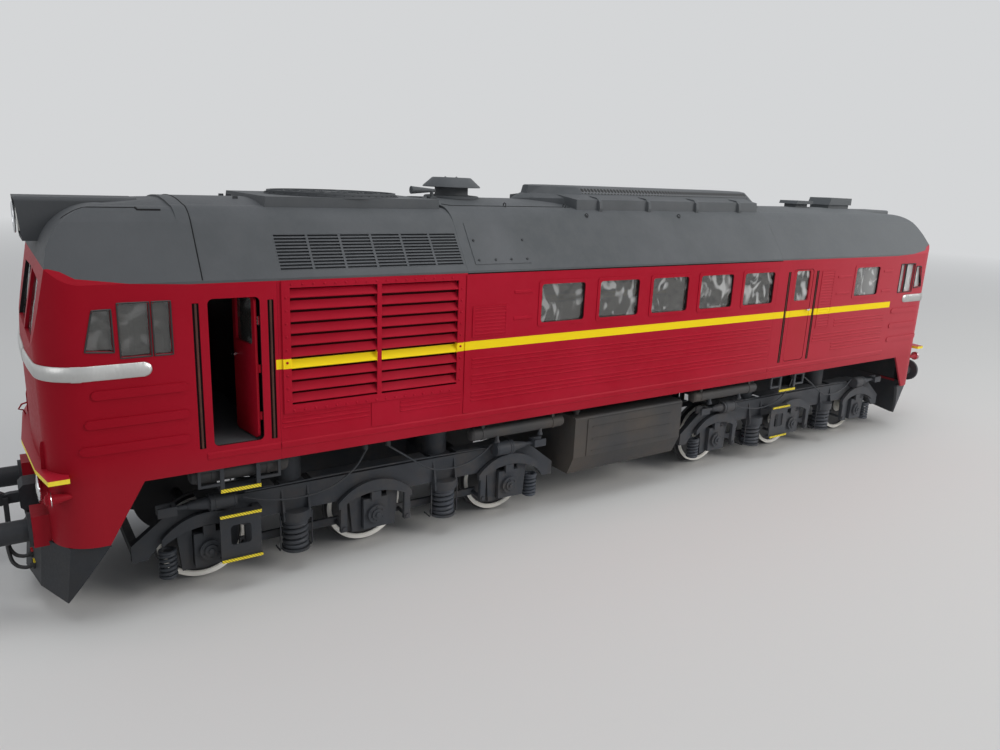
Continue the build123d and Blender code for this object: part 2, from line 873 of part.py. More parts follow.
bar_table = [
    # from x, to x, height
    (louvre_plate_x1 + 34.5, louvre_plate_x1 + 47.5, 152.0),
    (louvre_plate_x1 + 34.5, louvre_plate_x1 + 47.5, 136.2),
    (last_window_x - 41.0, last_window_x - 22.0, 149.1),
    (last_window_x - 41.0, last_window_x - 22.0, 135.6),
    (last_window_x + 23.6, last_window_x + 36.5, 151.7),
    (last_window_x + 23.6, last_window_x + 36.5, 134.6),
]
bar_half = 1.1
trim += [rib(x0, x1, z, bar_half, bar_half * 0.6) for x0, x1, z in bar_table]

small_grille_table = [
    # centre x, centre z, width, height, number of slats, side border
    (louvre_plate_x1 + 18.0, 135.9, 24.2, 18.0, 8, 1.5),
    (rear_slot_x1 + 14.3, 131.7, 17.4, 46.6, 20, 1.5),
]
grille_back = 0.15
for x, z, width, height, count, border in small_grille_table:
    frame = wall_plate(x, z, width, height, 0.4)
    frame -= wall_plate(x, z, width - 2 * border, height - border, 0.2, 2.0)
    backing = wall_plate(x, z, width - border, height - border / 2, 0.2, grille_back)
    pitch = (height - border) / count
    bars = [
        rib(
            x - width / 2 + border / 2,
            x + width / 2 - border / 2,
            z - height / 2 + border / 2 + (index + 0.5) * pitch,
            pitch * 0.36,
            pitch * 0.12,
            trim_proud * 0.9,
        )
        for index in range(count)
    ]
    trim.append(frame + backing + bars)

# Beads pressed into the nose sides
bead_table = [
    # front end set back from the nose, height
    (21.9, 116.2),
    (18.4, 102.9),
    (15.4, 90.6),
]
bead_height = 4.2
bead_end_gap = 3.1
bead_proud = 0.7
bead_skin = upward(nose_plan(-bead_proud), body_bottom, belt_height) - upward(
    nose_plan(0), body_bottom - 1, belt_height + 1
)
beads = []
for setback, z in bead_table:
    x0 = -(nose_reach - setback)
    x1 = -cab_seam - bead_end_gap
    plane = side_plane((x0 + x1) / 2, half_width + bead_proud + 1, z)
    slot = extrude(plane * SlotOverall(x1 - x0, bead_height), amount=beyond)
    beads.append(bead_skin & slot)
side_trim = []
for piece in trim:
    side_trim += both_sides(piece)
for bead in beads:
    side_trim += four_corners(bead)
save("side_trim", *side_trim)

# Floor, and under it the sills, headstocks and bogie pivots
floor_inset = wall + seam_gap
floor_half = upward(nose_plan(floor_inset), floor_low, floor_top)
save("floor", floor_half + other_end(floor_half))

sill_y = 20.0
sill_half = 4.0
sill_bottom = 74.2
sill_setback = 15.8
sill_run = nose_reach - sill_setback
headstock_front_setback = 1.0
headstock_depth = 10.0
headstock_half = 50.0
headstock_low = 46.0
frame_parts = []
for y in (-sill_y, sill_y):
    frame_parts.append(block(-sill_run, sill_run, y - sill_half, y + sill_half, sill_bottom, floor_low))
headstock_x = nose_reach - headstock_front_setback
headstock = block(
    -headstock_x, -headstock_x + headstock_depth, -headstock_half, headstock_half, headstock_low, floor_low
)
headstock_fit = headstock & cab_inner
pivot_low = 46.0
pivot_shoulder = 60.4
pivot_shoulder_radius = 14.0
bearing_pad_radius = 8.0
for side in (-1, 1):
    x = side * bogie_centre
    frame_parts.append(post(x, 0, pivot_shoulder, floor_low, pivot_shoulder_radius))
    frame_parts.append(post(x, 0, pivot_low, pivot_shoulder + 1, pivot_radius))
    frame_parts.append(
        block(x - pivot_shoulder_radius, x + pivot_shoulder_radius, -sill_y, sill_y, sill_bottom, floor_low)
    )
    for dx in (-mid_spring_x, mid_spring_x):
        frame_parts.append(
            block(x + dx - sill_half, x + dx + sill_half, -stack_y, stack_y, sill_bottom, floor_low)
        )
        for y in (-stack_y, stack_y):
            frame_parts.append(post(x + dx, y, stack_top + side_bearing_gap, floor_low, bearing_pad_radius))
underframe = frame_parts[0] + frame_parts[1:] + headstock_fit + other_end(headstock_fit)
save("underframe", underframe)

# Bulkheads and cab furniture
bulkhead_thickness = 1.5
bulkhead_door_gap = 4.4
bulkhead_seam_gap = 3.9
bulkhead_half = 62.5
bulkhead_top = gutter_height - 0.4
bulkhead_places = [
    -cab_seam + bulkhead_seam_gap,
    front_door_x + door_width / 2 + bulkhead_door_gap,
    rear_door_x - door_width / 2 - bulkhead_door_gap,
    cab_seam - bulkhead_seam_gap,
]
bulkheads = [
    block(
        x - bulkhead_thickness / 2,
        x + bulkhead_thickness / 2,
        -bulkhead_half,
        bulkhead_half,
        floor_top,
        bulkhead_top,
    )
    for x in bulkhead_places
]
save("bulkheads", *bulkheads)
desk_half = 46.0
desk_points = [
    # set back from the nose, height over the floor
    (10.8, 0.0),
    (10.8, 40.4),
    (22.8, 42.9),
    (28.3, 37.9),
    (24.8, 28.4),
    (24.8, 0.0),
]
desk_outline = [(-(nose_reach - s), floor_top + z) for s, z in desk_points]
desk = across(desk_outline, -desk_half, desk_half) & cab_inner
seat_setback = 46.8
seat_y = 30.0
seat_height = 20.4
cushion_thickness = 4.5
seat_back_height = 28.5
seat_half = 11.0
seats = []
seat_x = -(nose_reach - seat_setback)
cushion_low = floor_top + seat_height
cushion_top = cushion_low + cushion_thickness
for y in (-seat_y, seat_y):
    pillar = block(seat_x - 3, seat_x + 3, y - 3, y + 3, floor_top, cushion_low)
    cushion = block(
        seat_x - seat_half, seat_x + seat_half - 1, y - seat_half, y + seat_half, cushion_low, cushion_top
    )
    back = block(
        seat_x + seat_half - 4,
        seat_x + seat_half,
        y - seat_half + 0.5,
        y + seat_half - 0.5,
        cushion_top - 0.5,
        cushion_top + seat_back_height,
    )
    seats.append(pillar + cushion + back)
save("cab_fittings", desk, other_end(desk), *seats, *[other_end(seat) for seat in seats])

# Doors
leaf_half = door_width / 2 - door_clearance
hinge_height = 4.0
hinge_end_gap = 12.0
hinge_heights = (door_low + hinge_end_gap, door_mid, door_high - hinge_end_gap)
door_handle_height = 124.8
door_light_width = 17.5
door_light_height = 23.4
door_light_mid = 143.9
door_light_corner = 2.0
handle_inset = 3.0
grip_half = 1.6
grip_radius = 0.7
spindle_radius = 0.6


def door_axis(x, hinge_side):
    return (x + hinge_side * leaf_half, half_width - wall - hinge_wall_gap - hinge_radius)


def door_leaf(x, hinge_side):
    """A closed leaf on the +Y side. hinge_side is +1 when it hangs on its +X edge."""
    y_out = half_width - (wall - door_thickness) / 2
    y_in = y_out - door_thickness
    outline = RectangleRounded(2 * leaf_half, door_height - 2 * door_clearance, door_corner)
    leaf = extrude(side_plane(x, y_out, door_mid) * outline, amount=door_thickness)
    light_shape = RectangleRounded(door_light_width, door_light_height, door_light_corner)
    light = extrude(side_plane(x, y_out + 2, door_light_mid) * light_shape, amount=door_thickness + 4)
    pane_shape = RectangleRounded(
        door_light_width + pane_lap, door_light_height + 2 * pane_lap, door_light_corner
    )
    pane = extrude(side_plane(x, y_in - 0.02, door_light_mid) * pane_shape, amount=pane_thickness)
    pin_x, pin_y = door_axis(x, hinge_side)
    knuckles = []
    for z in hinge_heights:
        low = z - hinge_height / 2
        high = z + hinge_height / 2
        knuckles.append(post(pin_x, pin_y, low, high, hinge_radius))
        knuckles.append(block(pin_x, pin_x - hinge_side * 1.8, pin_y, y_in + 0.1, low, high))
    handle_x = x - hinge_side * (leaf_half - handle_inset)
    y_grip_out = y_out + 1.6
    y_grip_in = y_in - 1.6
    spindle = rod(
        (handle_x, y_grip_out, door_handle_height),
        (handle_x, y_grip_in, door_handle_height),
        spindle_radius,
    )
    grips = [
        rod(
            (handle_x - grip_half, y, door_handle_height),
            (handle_x + grip_half, y, door_handle_height),
            grip_radius,
        )
        for y in (y_grip_out, y_grip_in)
    ]
    clear = [
        block(pin_x - 3, pin_x + 3, y_in - 3, y_out, z - hinge_height, z + hinge_height)
        for z in hinge_heights
    ]
    return (leaf - light) + knuckles + spindle + grips, pane - clear


door_table = [
    # name, doorway x, side of the body, hinged edge, angle stored
    ("front_left", front_door_x, -1, 1, door_open_angle),
    ("front_right", front_door_x, 1, 1, 0),
    ("rear_left", rear_door_x, -1, -1, 0),
    ("rear_right", rear_door_x, 1, -1, 0),
]
for name, x, side, edge, angle in door_table:
    leaf, pane = door_leaf(x, edge)
    pin_x, pin_y = door_axis(x, edge)
    pin = Axis((pin_x, pin_y, 0), (0, 0, 1))
    if angle:
        leaf = leaf.rotate(pin, edge * angle)
        pane = pane.rotate(pin, edge * angle)
    if side < 0:
        leaf = mirror(leaf, about=Plane.XZ)
        pane = mirror(pane, about=Plane.XZ)
    save(f"door_{name}", leaf, pane)

# Fixed glass, laid against the inside of the walls
glass_gap = 0.02
glass_zone = cab_solid(wall + glass_gap, skirt_bottom)
glass_zone -= cab_solid(wall + glass_gap + pane_thickness, skirt_bottom - 5)
side_panes = []
for x in [*window_places, last_window_x]:
    outline = RectangleRounded(window_width + 2 * pane_lap, window_height + 2 * pane_lap, window_corner)
    plane = side_plane(x, half_width - wall - glass_gap, window_mid)
    side_panes += both_sides(extrude(plane * outline, amount=pane_thickness))
light_lap = [(-1.6, 0.8), (1.0, 0.8), (1.0, -0.8), (-1.9, -0.8)]
quarter_pane_points = [
    (-(nose_reach - s) + dx, z + dz) for (s, z), (dx, dz) in zip(quarter_light_points, light_lap)
]
cab_window_x0 = -(nose_reach - cab_window_table[0][0] + cab_window_table[0][1] / 2 + 0.6)
cab_window_x1 = -(nose_reach - cab_window_table[1][0] - cab_window_table[1][1] / 2 - 1.0)
cab_pane_zones = [
    across(quarter_pane_points, half_width - beyond, half_width + beyond),
    block(
        cab_window_x0,
        cab_window_x1,
        half_width - beyond,
        half_width + beyond,
        cab_window_mid - cab_window_height / 2 - 1.0,
        cab_window_mid + cab_window_height / 2 + 1.0,
    ),
    along(
        [
            (screen_inner - 1.0, screen_low - 1.0),
            (screen_outer + 1.0, screen_low - 1.0),
            (screen_outer + 1.0, screen_outer_high + 1.0),
            (screen_inner - 1.0, screen_high + 1.0),
        ],
        -nose_reach - beyond,
        -nose_reach + 20.0,
    ),
]
cab_panes = []
for zone in cab_pane_zones:
    cab_panes += four_corners(glass_zone & zone)
save("glazing", *side_panes, *cab_panes)

# Bright band round each nose, with a crest along its middle
band_mid = 126.4
band_half = 4.0
band_proud = 1.3
band_edge_proud = 0.5
band_length_setback = 47.8
band_layers = [
    # height from the middle of the band, how proud
    (-band_half, band_edge_proud),
    (0.0, band_proud),
    (band_half, band_edge_proud),
]
band_loops = [Pos(0, 0, band_mid + dz) * nose_plan(-proud) for dz, proud in band_layers]
band_outer = loft(band_loops[:2]) + loft(band_loops[1:])
band_inner = upward(nose_plan(-skin_gap), band_mid - band_half - 1, band_mid + band_half + 1)
band_cut = block(
    -(nose_reach - band_length_setback),
    beyond,
    -half_width - beyond,
    half_width + beyond,
    band_mid - 2 * band_half,
    band_mid + 2 * band_half,
)
band = band_outer - band_inner - band_cut - cab_outer
save("nose_bands", band, other_end(band))

# Headlamps and tail lamps
nose_column = upward(nose_plan(0), skirt_bottom - beyond, belt_height)
lamp_z = 69.4
low_lamp_y = 45.0
low_lamp_ring_radius = 6.2
low_lamp_reach = 1.2
tail_lamp_y = 61.6
tail_lamp_reach = 2.4
tail_ring_radius = 3.8
tail_tip_setback = 10.0
top_lens_radius = 6.4
top_lens_depth = 2.0
top_lens_z = (lamp_box_top + lamp_box_under) / 2
top_lens_x = -lamp_box_front + lamp_recess_depth
top_lens = rod((top_lens_x, 0, top_lens_z), (top_lens_x - top_lens_depth, 0, top_lens_z), top_lens_radius)
low_lamp_profile = [
    # radius, forward of the nose
    (0.0, -beyond),
    (low_lamp_ring_radius - 1.4, -beyond),
    (low_lamp_ring_radius - 1.0, 0.2),
    (low_lamp_ring_radius, 0.4),
    (low_lamp_ring_radius, low_lamp_reach),
    (low_lamp_ring_radius - 1.0, low_lamp_reach),
    (low_lamp_ring_radius - 1.2, low_lamp_reach - 0.6),
    (0.0, low_lamp_reach - 0.2),
]
tail_lamp_profile = [
    # radius, forward of the nose
    (0.0, -tail_tip_setback - 2.0),
    (1.2, -tail_tip_setback),
    (tail_ring_radius - 0.9, 0.0 - tail_lamp_reach),
    (tail_ring_radius, -tail_lamp_reach),
    (tail_ring_radius, -tail_lamp_reach + 0.9),
    (tail_ring_radius - 1.0, -tail_lamp_reach + 0.9),
    (tail_ring_radius - 1.6, tail_lamp_reach - 2.6),
    (0.0, tail_lamp_reach - 2.0),
]


def turned_lamp(profile, y):
    """A lamp turned about an axis along X, pointing forwards from the nose of end a."""
    points = [(-(nose_reach + reach), y, lamp_z + radius) for radius, reach in profile]
    axis = Axis((0, y, lamp_z), (1, 0, 0))
    return revolve(make_face(Polyline(*points, close=True)), axis)


low_lamps = four_corners(turned_lamp(low_lamp_profile, low_lamp_y) - nose_column)
save("headlamps", top_lens, other_end(top_lens), *low_lamps)
tail_lamp = turned_lamp(tail_lamp_profile, tail_lamp_y) - nose_column
save("tail_lamps", *four_corners(tail_lamp))

# Footboard round each nose
board_top = 80.0
board_thickness = 2.2
board_corner_y = half_width + 1.9
board_points = [
    # set back from the nose, y
    (10.4, board_corner_y),
    (1.8, board_corner_y),
    (-1.8, 48.8),
    (-4.8, 0.0),
    (-1.8, -48.8),
    (1.8, -board_corner_y),
    (10.4, -board_corner_y),
]
board_outline = [(-(nose_reach - s), y) for s, y in board_points]
board = plan_outline(board_outline, board_top - board_thickness, board_top)
board = (board - nose_column).solids().sort_by(SortBy.VOLUME)[-1]
save("footboards", board, other_end(board))

# Buffers on their boxes
buffer_height = 47.3
buffer_y = 38.9
box_reach = 5.5
box_half = 7.8
box_low = 41.0
box_high = 56.4
buffer_collar_radius = 8.2
buffer_collar_thickness = 1.6
buffer_tube_radius = 5.4
buffer_shank_radius = 4.2
buffer_shank_length = 9.0
buffer_head_radius = 10.0
buffer_head_thickness = 3.0
box_front = nose_reach + box_reach
buffer_box = block(
    -box_front, -nose_reach + beyond, buffer_y - box_half, buffer_y + box_half, box_low, box_high
)
buffer_box -= nose_column
save("buffer_boxes", *four_corners(buffer_box))


def buffer(y):
    """Collar, tube, shank and head along one axis."""
    head_back = half_length - buffer_head_thickness
    tube_end = head_back - buffer_shank_length
    z = buffer_height
    collar = rod((-box_front, y, z), (-box_front - buffer_collar_thickness, y, z), buffer_collar_radius)
    tube = rod((-box_front, y, z), (-tube_end, y, z), buffer_tube_radius)
    shank = rod((-tube_end, y, z), (-head_back, y, z), buffer_shank_radius)
    head = rod((-head_back, y, z), (-half_length, y, z), buffer_head_radius)
    head = chamfer(head.edges().group_by(Axis.X)[0], 0.8)
    return collar + tube + shank + head


save("buffers", *four_corners(buffer(buffer_y)))

# Coupler: a base on the nose, a shank and a hook with a link hanging from it
coupler_z = 50.0
coupler_base_half = 7.0
coupler_base_reach = 8.6
coupler_base_low = 44.2
coupler_base_high = 58.0
shank_half_y = 2.4
hook_half_y = 1.8
hook_reach = 17.0
link_reach_x = 14.6
link_low = 38.5
coupler_x = nose_reach + coupler_base_reach
coupler_base = block(
    -coupler_x,
    -nose_reach + beyond,
    -coupler_base_half,
    coupler_base_half,
    coupler_base_low,
    coupler_base_high,
)
coupler_base = chamfer(coupler_base.edges().filter_by(Axis.Y).group_by(Axis.X)[0], 2.0)
hook = across(
    [
        (-coupler_x + 1, coupler_z - 2.6),
        (-coupler_x - 4.0, coupler_z - 2.6),
        (-nose_reach - hook_reach, coupler_z - 3.4),
        (-nose_reach - hook_reach - 1.6, coupler_z),
        (-nose_reach - hook_reach + 0.6, coupler_z + 3.4),
        (-nose_reach - hook_reach + 2.4, coupler_z + 2.2),
        (-coupler_x - 4.0, coupler_z + 2.6),
        (-coupler_x + 1, coupler_z + 2.6),
    ],
    -hook_half_y,
    hook_half_y,
)
link = block(
    -nose_reach - link_reach_x - 1.2,
    -nose_reach - link_reach_x + 1.2,
    -shank_half_y - 1.2,
    shank_half_y + 1.2,
    link_low,
    coupler_z + 1.0,
)
coupler = (coupler_base - nose_column) + hook + link
save("couplers", coupler, other_end(coupler))

# Ploughs: a bent sheet under each skirt, raked forwards, with its wings swept up
plough_low = 12.0
plough_high = skirt_bottom - 0.3
plough_sheet = 1.6
wing_setback = 25.0
plough_table = [
    # set back from the nose and y at the top, then the same at the foot
    (wing_setback, 62.5, wing_setback, 59.5),
    (8.3, 60.5, 5.3, 52.5),
    (-2.2, 42.0, -4.2, 28.0),
    (-5.7, 0.0, -9.0, 0.0),
    (-2.2, -42.0, -4.2, -28.0),
    (8.3, -60.5, 5.3, -52.5),
    (wing_setback, -62.5, wing_setback, -59.5),
]


def plough_solid(sheet, over):
    """The plough as a solid drawn in by a sheet's thickness."""
    top = []
    foot = []
    for top_setback, top_y, foot_setback, foot_y in plough_table:
        back = over if top_setback == wing_setback else sheet
        top.append((-(nose_reach - top_setback) + back, top_y - sheet * top_y / half_width))
        foot.append((-(nose_reach - foot_setback) + back, foot_y - sheet * foot_y / half_width))
    top_face = Plane.XY.offset(plough_high) * make_face(Polyline(*top, close=True))
    foot_face = Plane.XY.offset(plough_low) * make_face(Polyline(*foot, close=True))
    return loft([foot_face, top_face])


wing_cut = across(
    [
        (-(nose_reach - 4.6), plough_low - 1),
        (-(nose_reach - 5.8), plough_low - 0.01),
        (-(nose_reach - wing_setback + 0.6), plough_high - 2.0),
        (-(nose_reach - wing_setback - beyond), plough_high + 1),
        (-(nose_reach - wing_setback - beyond), plough_low - 1),
    ],
    -half_width,
    half_width,
)
box_room = block(
    -nose_reach - beyond,
    -nose_reach + 20,
    buffer_y - box_half - seam_gap,
    buffer_y + box_half + seam_gap,
    box_low - seam_gap,
    skirt_bottom + beyond,
)
plough_core = plough_solid(plough_sheet, beyond)
core_down = Pos(0, 0, -0.5) * plough_core
core_up = Pos(0, 0, 0.5) * plough_core
plough = plough_solid(0, 0) - plough_core - core_down - core_up - wing_cut - both_sides(box_room)
plough = plough.solids().sort_by(SortBy.VOLUME)[-1]
save("ploughs", plough, other_end(plough))

# Brake hoses: stiff bent wires from the coupler down to a cock on the plough
hose_radius = 0.95
hose_table = [
    # y at the cock, cock height, y at the top
    (-14.0, 23.4, -5.2),
    (-18.0, 19.0, -6.6),
]
hose_top_z = coupler_base_low
hose_bend = 4.6
cock_length = 3.6
cock_radius = 1.5
hose_sets = []
for y_cock, z_cock, y_top in hose_table:
    plough_x = nose_reach + 8.0 - (z_cock - plough_low) * 0.1 + y_cock * 0.16
    x_cock = -plough_x - cock_length + 0.6
    x_loop = -nose_reach - 15.4
    route = [
        (x_cock, y_cock, z_cock),
        (x_loop + 1.0, y_cock, z_cock - 1.2),
        (x_loop, (y_cock + y_top) / 2, (z_cock + hose_top_z) / 2 - 1),
        (-coupler_x + 2.0, y_top, hose_top_z - 5.0),
        (-coupler_x + 2.4, y_top, hose_top_z + 0.2),
    ]
    path = FilletPolyline(*route, radius=[2.2, hose_bend, 3.0])
    hose = sweep(Plane(origin=path @ 0, z_dir=path % 0) * Circle(hose_radius), path=path)
    cock = rod((-plough_x + 2.0, y_cock, z_cock), (x_cock, y_cock, z_cock), cock_radius)
    tap = block(x_cock + 0.6, x_cock + 2.2, y_cock - 0.5, y_cock + 0.5, z_cock, z_cock + 3.2)
    hose_sets.append(((cock + tap) - plough, hose))
brake_hoses = []
for cock, hose in hose_sets:
    whole = cock + hose - coupler
    brake_hoses += [whole, other_end(whole)]
save("brake_hoses", *brake_hoses)

# Tank between the bogies: upright sides with a raised panel, narrower below a crease
tank_to_frames = (9.1, 14.1)
tank_front = -(bogie_centre - frame_half_length - tank_to_frames[0])
tank_rear = bogie_centre - frame_half_length - tank_to_frames[1]
tank_top = 65.0
tank_knee = 37.0
tank_bottom = 24.0
tank_y = 61.5
tank_low_y = 55.5
tank_edge = 2.0
tank_panel_start = 10.6
tank_panel_margin = 1.0
tank_panel_proud = 0.5
tank_bead_height = 1.1
tank_bead_proud = 0.35
tank_bead_heights = (57.0, 48.5, 39.9)
tank_mount_half = 5.0
tank_mount_inset = 15.0
filler_x = tank_front + 6.0
filler_y = 54.0
filler_radius = 2.6
filler_neck_radius = 1.9
filler_top = 68.6
filler_lid = 1.5
tank = along(
    [
        (-tank_y, tank_top),
        (-tank_y, tank_knee),
        (-tank_low_y, tank_bottom),
        (tank_low_y, tank_bottom),
        (tank_y, tank_knee),
        (tank_y, tank_top),
    ],
    tank_front,
    tank_rear,
)
tank = fillet(tank.edges().filter_by(Axis.X).group_by(Axis.Z)[-1], tank_edge)
panel_x0 = tank_front + tank_panel_start
panel_x1 = tank_rear - tank_panel_margin
panel_y = tank_y + tank_panel_proud
tank_panel = block(panel_x0, panel_x1, tank_y - 1, panel_y, tank_knee, tank_top - tank_edge)
tank_bead_margins = (0.046, 0.116)
bead_x0 = panel_x0 + tank_bead_margins[0] * (panel_x1 - panel_x0)
bead_x1 = panel_x1 - tank_bead_margins[1] * (panel_x1 - panel_x0)
for z in tank_bead_heights:
    plane = side_plane((bead_x0 + bead_x1) / 2, panel_y + tank_bead_proud, z)
    tank_panel += extrude(plane * SlotOverall(bead_x1 - bead_x0, tank_bead_height), amount=1.0)
filler = post(filler_x, filler_y, tank_top - 1, filler_top, filler_neck_radius)
filler += post(filler_x, filler_y, filler_top - filler_lid, filler_top, filler_radius)
tank_mounts = [
    block(
        x - tank_mount_half,
        x + tank_mount_half,
        -sill_y - sill_half,
        sill_y + sill_half,
        tank_top - 1,
        sill_bottom,
    )
    for x in (tank_front + tank_mount_inset, tank_rear - tank_mount_inset)
]
save("fuel_tank", tank + both_sides(tank_panel) + both_sides(filler) + tank_mounts)

# Air reservoirs slung along the sides, each in two straps
reservoir_end = 2.2
reservoir_cut = 0.7
strap_half = 1.0
strap_proud = 0.3
middle_reservoir = (bogie_centre - 130.9, bogie_centre - 59.4, 57.0, 64.2, 3.9, 9.0)
step_reservoir = (-front_door_x - 26.2, -front_door_x + 23.4, 56.4, 68.0, 5.0, 11.0)


def reservoir(x0, x1, y, z, radius, strap_inset):
    """A round-ended tube along X, hung from the floor by straps near its ends."""
    profile = [
        (x0, 0),
        (x0, radius - reservoir_end),
        (x0 + reservoir_cut, radius - reservoir_cut),
        (x0 + reservoir_end, radius),
        (x1 - reservoir_end, radius),
        (x1 - reservoir_cut, radius - reservoir_cut),
        (x1, radius - reservoir_end),
        (x1, 0),
    ]
    tube = revolve(
        make_face(Polyline(*[(x, y, z + r) for x, r in profile], close=True)),
        Axis((0, y, z), (1, 0, 0)),
    )
    for x in (x0 + strap_inset, x1 - strap_inset):
        tube += rod((x - strap_half, y, z), (x + strap_half, y, z), radius + strap_proud)
        tube += block(x - strap_half, x + strap_half, y - 2, y + 2, z, floor_low)
    return tube


reservoirs = four_corners(reservoir(*middle_reservoir))
reservoirs += [other_end(piece) for piece in both_sides(reservoir(*step_reservoir))]
save("air_reservoirs", *reservoirs)

# Steps hung under each door
step_y = half_width - 1.6
step_z = 60.3
step_half = 10.0
step_depth = 8.0
step_thickness = 1.4
step_hanger = 2.0
loop_reach = 10.6
loop_low = 62.6
loop_bar = 1.4
body_steps = []
step_top = body_bottom - seam_gap
for x in (front_door_x, rear_door_x):
    tread = block(
        x - step_half, x + step_half, step_y - step_depth, step_y, step_z - step_thickness, step_z
    )
    hangers = [
        block(x + dx, x + dx + step_hanger, step_y - 1.5, step_y, step_z - 1, step_top)
        for dx in (-step_half, step_half - step_hanger)
    ]
    loops = []
    for side in (-1, 1):
        near = x + side * step_half
        far = near + side * loop_reach
        outer = block(near, far, step_y - 1.3, step_y - 0.2, loop_low, step_top)
        inner = block(
            near, far - side * loop_bar, step_y - 3, step_y + 2, loop_low + loop_bar, step_top - loop_bar
        )
        loops.append(outer - inner)
    body_steps += both_sides(tread + hangers + loops)
save("body_steps", *body_steps)


# Wheelsets
def wheelset(x):
    wheels = []
    for side in (-1, 1):
        profile = [
            # radius, distance from the back face
            (axle_radius - 0.5, 0.0),
            (flange_radius - 0.4, 0.0),
            (flange_radius, 0.5),
            (flange_radius - 0.3, flange_width - 0.3),
            (tread_radius + 0.1, flange_width + 0.3),
            (tread_radius - 0.25, wheel_width),
            (tread_radius - 2.6, wheel_width),
            (tread_radius - 3.6, wheel_width - 1.6),
            (8.0, wheel_width - 1.6),
            (6.5, wheel_width),
            (axle_radius - 0.5, wheel_width),
        ]
        points = [(radius, side * (wheel_back + depth)) for radius, depth in profile]
        face = make_face(Polyline(*points, close=True))
        wheels.append(Pos(x, 0, axle_height) * revolve(face, Axis.Y))
    axle = rod((x, -wheel_back - 1, axle_height), (x, wheel_back + 1, axle_height), axle_radius)
    journal = rod((x, -journal_reach, axle_height), (x, journal_reach, axle_height), journal_radius)
    return axle + journal + wheels


for letter, side in (("a", -1), ("b", 1)):
    for index, offset in enumerate(axle_offsets):
        save(f"wheelset_{letter}{index + 1}", wheelset(side * bogie_centre + offset))


# Bogies, drawn at the middle of the locomotive and moved to their places
def frame_plate():
    """One side frame: a deep beam with drooping ends, a pedestal at each axle and caps over the springs."""
    half = frame_half_length
    shoulder_z = frame_top - 3.4
    end_top = frame_end_bottom + 9.0
    knee_z = frame_beam_bottom - 4.0
    half_outline = [
        (half, frame_end_bottom),
        (half, end_top),
        (half - 18.0, shoulder_z),
        (half - 30.0, frame_top),
    ]
    low_outline = [
        (half - 21.0, frame_beam_bottom),
        (half - 13.0, knee_z),
        (half - 7.0, frame_end_bottom),
    ]
    outline = half_outline + [(-x, z) for x, z in reversed(half_outline)]
    outline += [(-x, z) for x, z in reversed(low_outline)] + low_outline
    plate = across(outline, frame_inner, frame_outer)
    for x in axle_offsets:
        foot = across(
            [
                (x - pedestal_half - 2, frame_beam_bottom + 1),
                (x - pedestal_half, pedestal_bottom),
                (x + pedestal_half, pedestal_bottom),
                (x + pedestal_half + 2, frame_beam_bottom + 1),
            ],
            frame_inner,
            frame_outer,
        )
        jaw = axlebox_half + box_side_clearance
        plate = plate + foot - block(x - jaw, x + jaw, frame_inner - 1, frame_outer + 1, 0, jaw_top)
    return plate


gusset_thickness = 1.2
gusset_reach = 7.0
gusset_top = frame_top - 1.5


def spring_cap(x, radius, high):
    """A round cap over a spring, with two upright gussets on the outer face of the frame."""
    cap = post(x, spring_y, high, frame_beam_bottom + 1, radius + 1.0)
    gussets = []
    for dx in (-radius - 0.6, radius + 0.6 - gusset_thickness):
        gusset = along(
            [
                (frame_outer, high),
                (frame_outer + gusset_reach * 0.5, high),
                (frame_outer + gusset_reach * 0.5, high + 2.5),
                (frame_outer, gusset_top),
            ],
            x + dx,
            x + dx + gusset_thickness,
        )
        gussets.append(gusset)
    return [cap, *gussets]


bogie_step_y = 59.2
bogie_step_low = 19.6
bogie_step_high = 44.3
bogie_step_half = 10.4
bogie_step_thickness = 1.0
bogie_tread_thickness = 1.2
bogie_step_hole = (10.4, 11.0)
bogie_step_hole_z = 32.8
step_bracket_half = 1.9


def bogie_step(x, bracket_x):
    """A step plate with a window and two treads, carried by a bracket from the frame."""
    outer = bogie_step_y + bogie_step_thickness
    plate = block(
        x - bogie_step_half, x + bogie_step_half, bogie_step_y, outer, bogie_step_low, bogie_step_high
    )
    hole_plane = side_plane(x, bogie_step_y + 3, bogie_step_hole_z)
    window = extrude(hole_plane * RectangleRounded(*bogie_step_hole, 1.8), amount=6)
    treads = [
        block(
            x - bogie_step_half,
            x + bogie_step_half,
            bogie_step_y - 3.4,
            outer + 1.0,
            z - bogie_tread_thickness / 2,
            z + bogie_tread_thickness / 2,
        )
        for z in (bogie_step_low, bogie_step_high)
    ]
    bracket = block(
        bracket_x - step_bracket_half,
        bracket_x + step_bracket_half,
        frame_outer,
        bogie_step_y,
        bogie_step_high - 2.6,
        bogie_step_high,
    )
    return (plate - window) + treads + bracket


plate = frame_plate()
for x in (-mid_spring_x, mid_spring_x):
    plate = plate + spring_cap(x, mid_spring_radius, mid_spring_high)

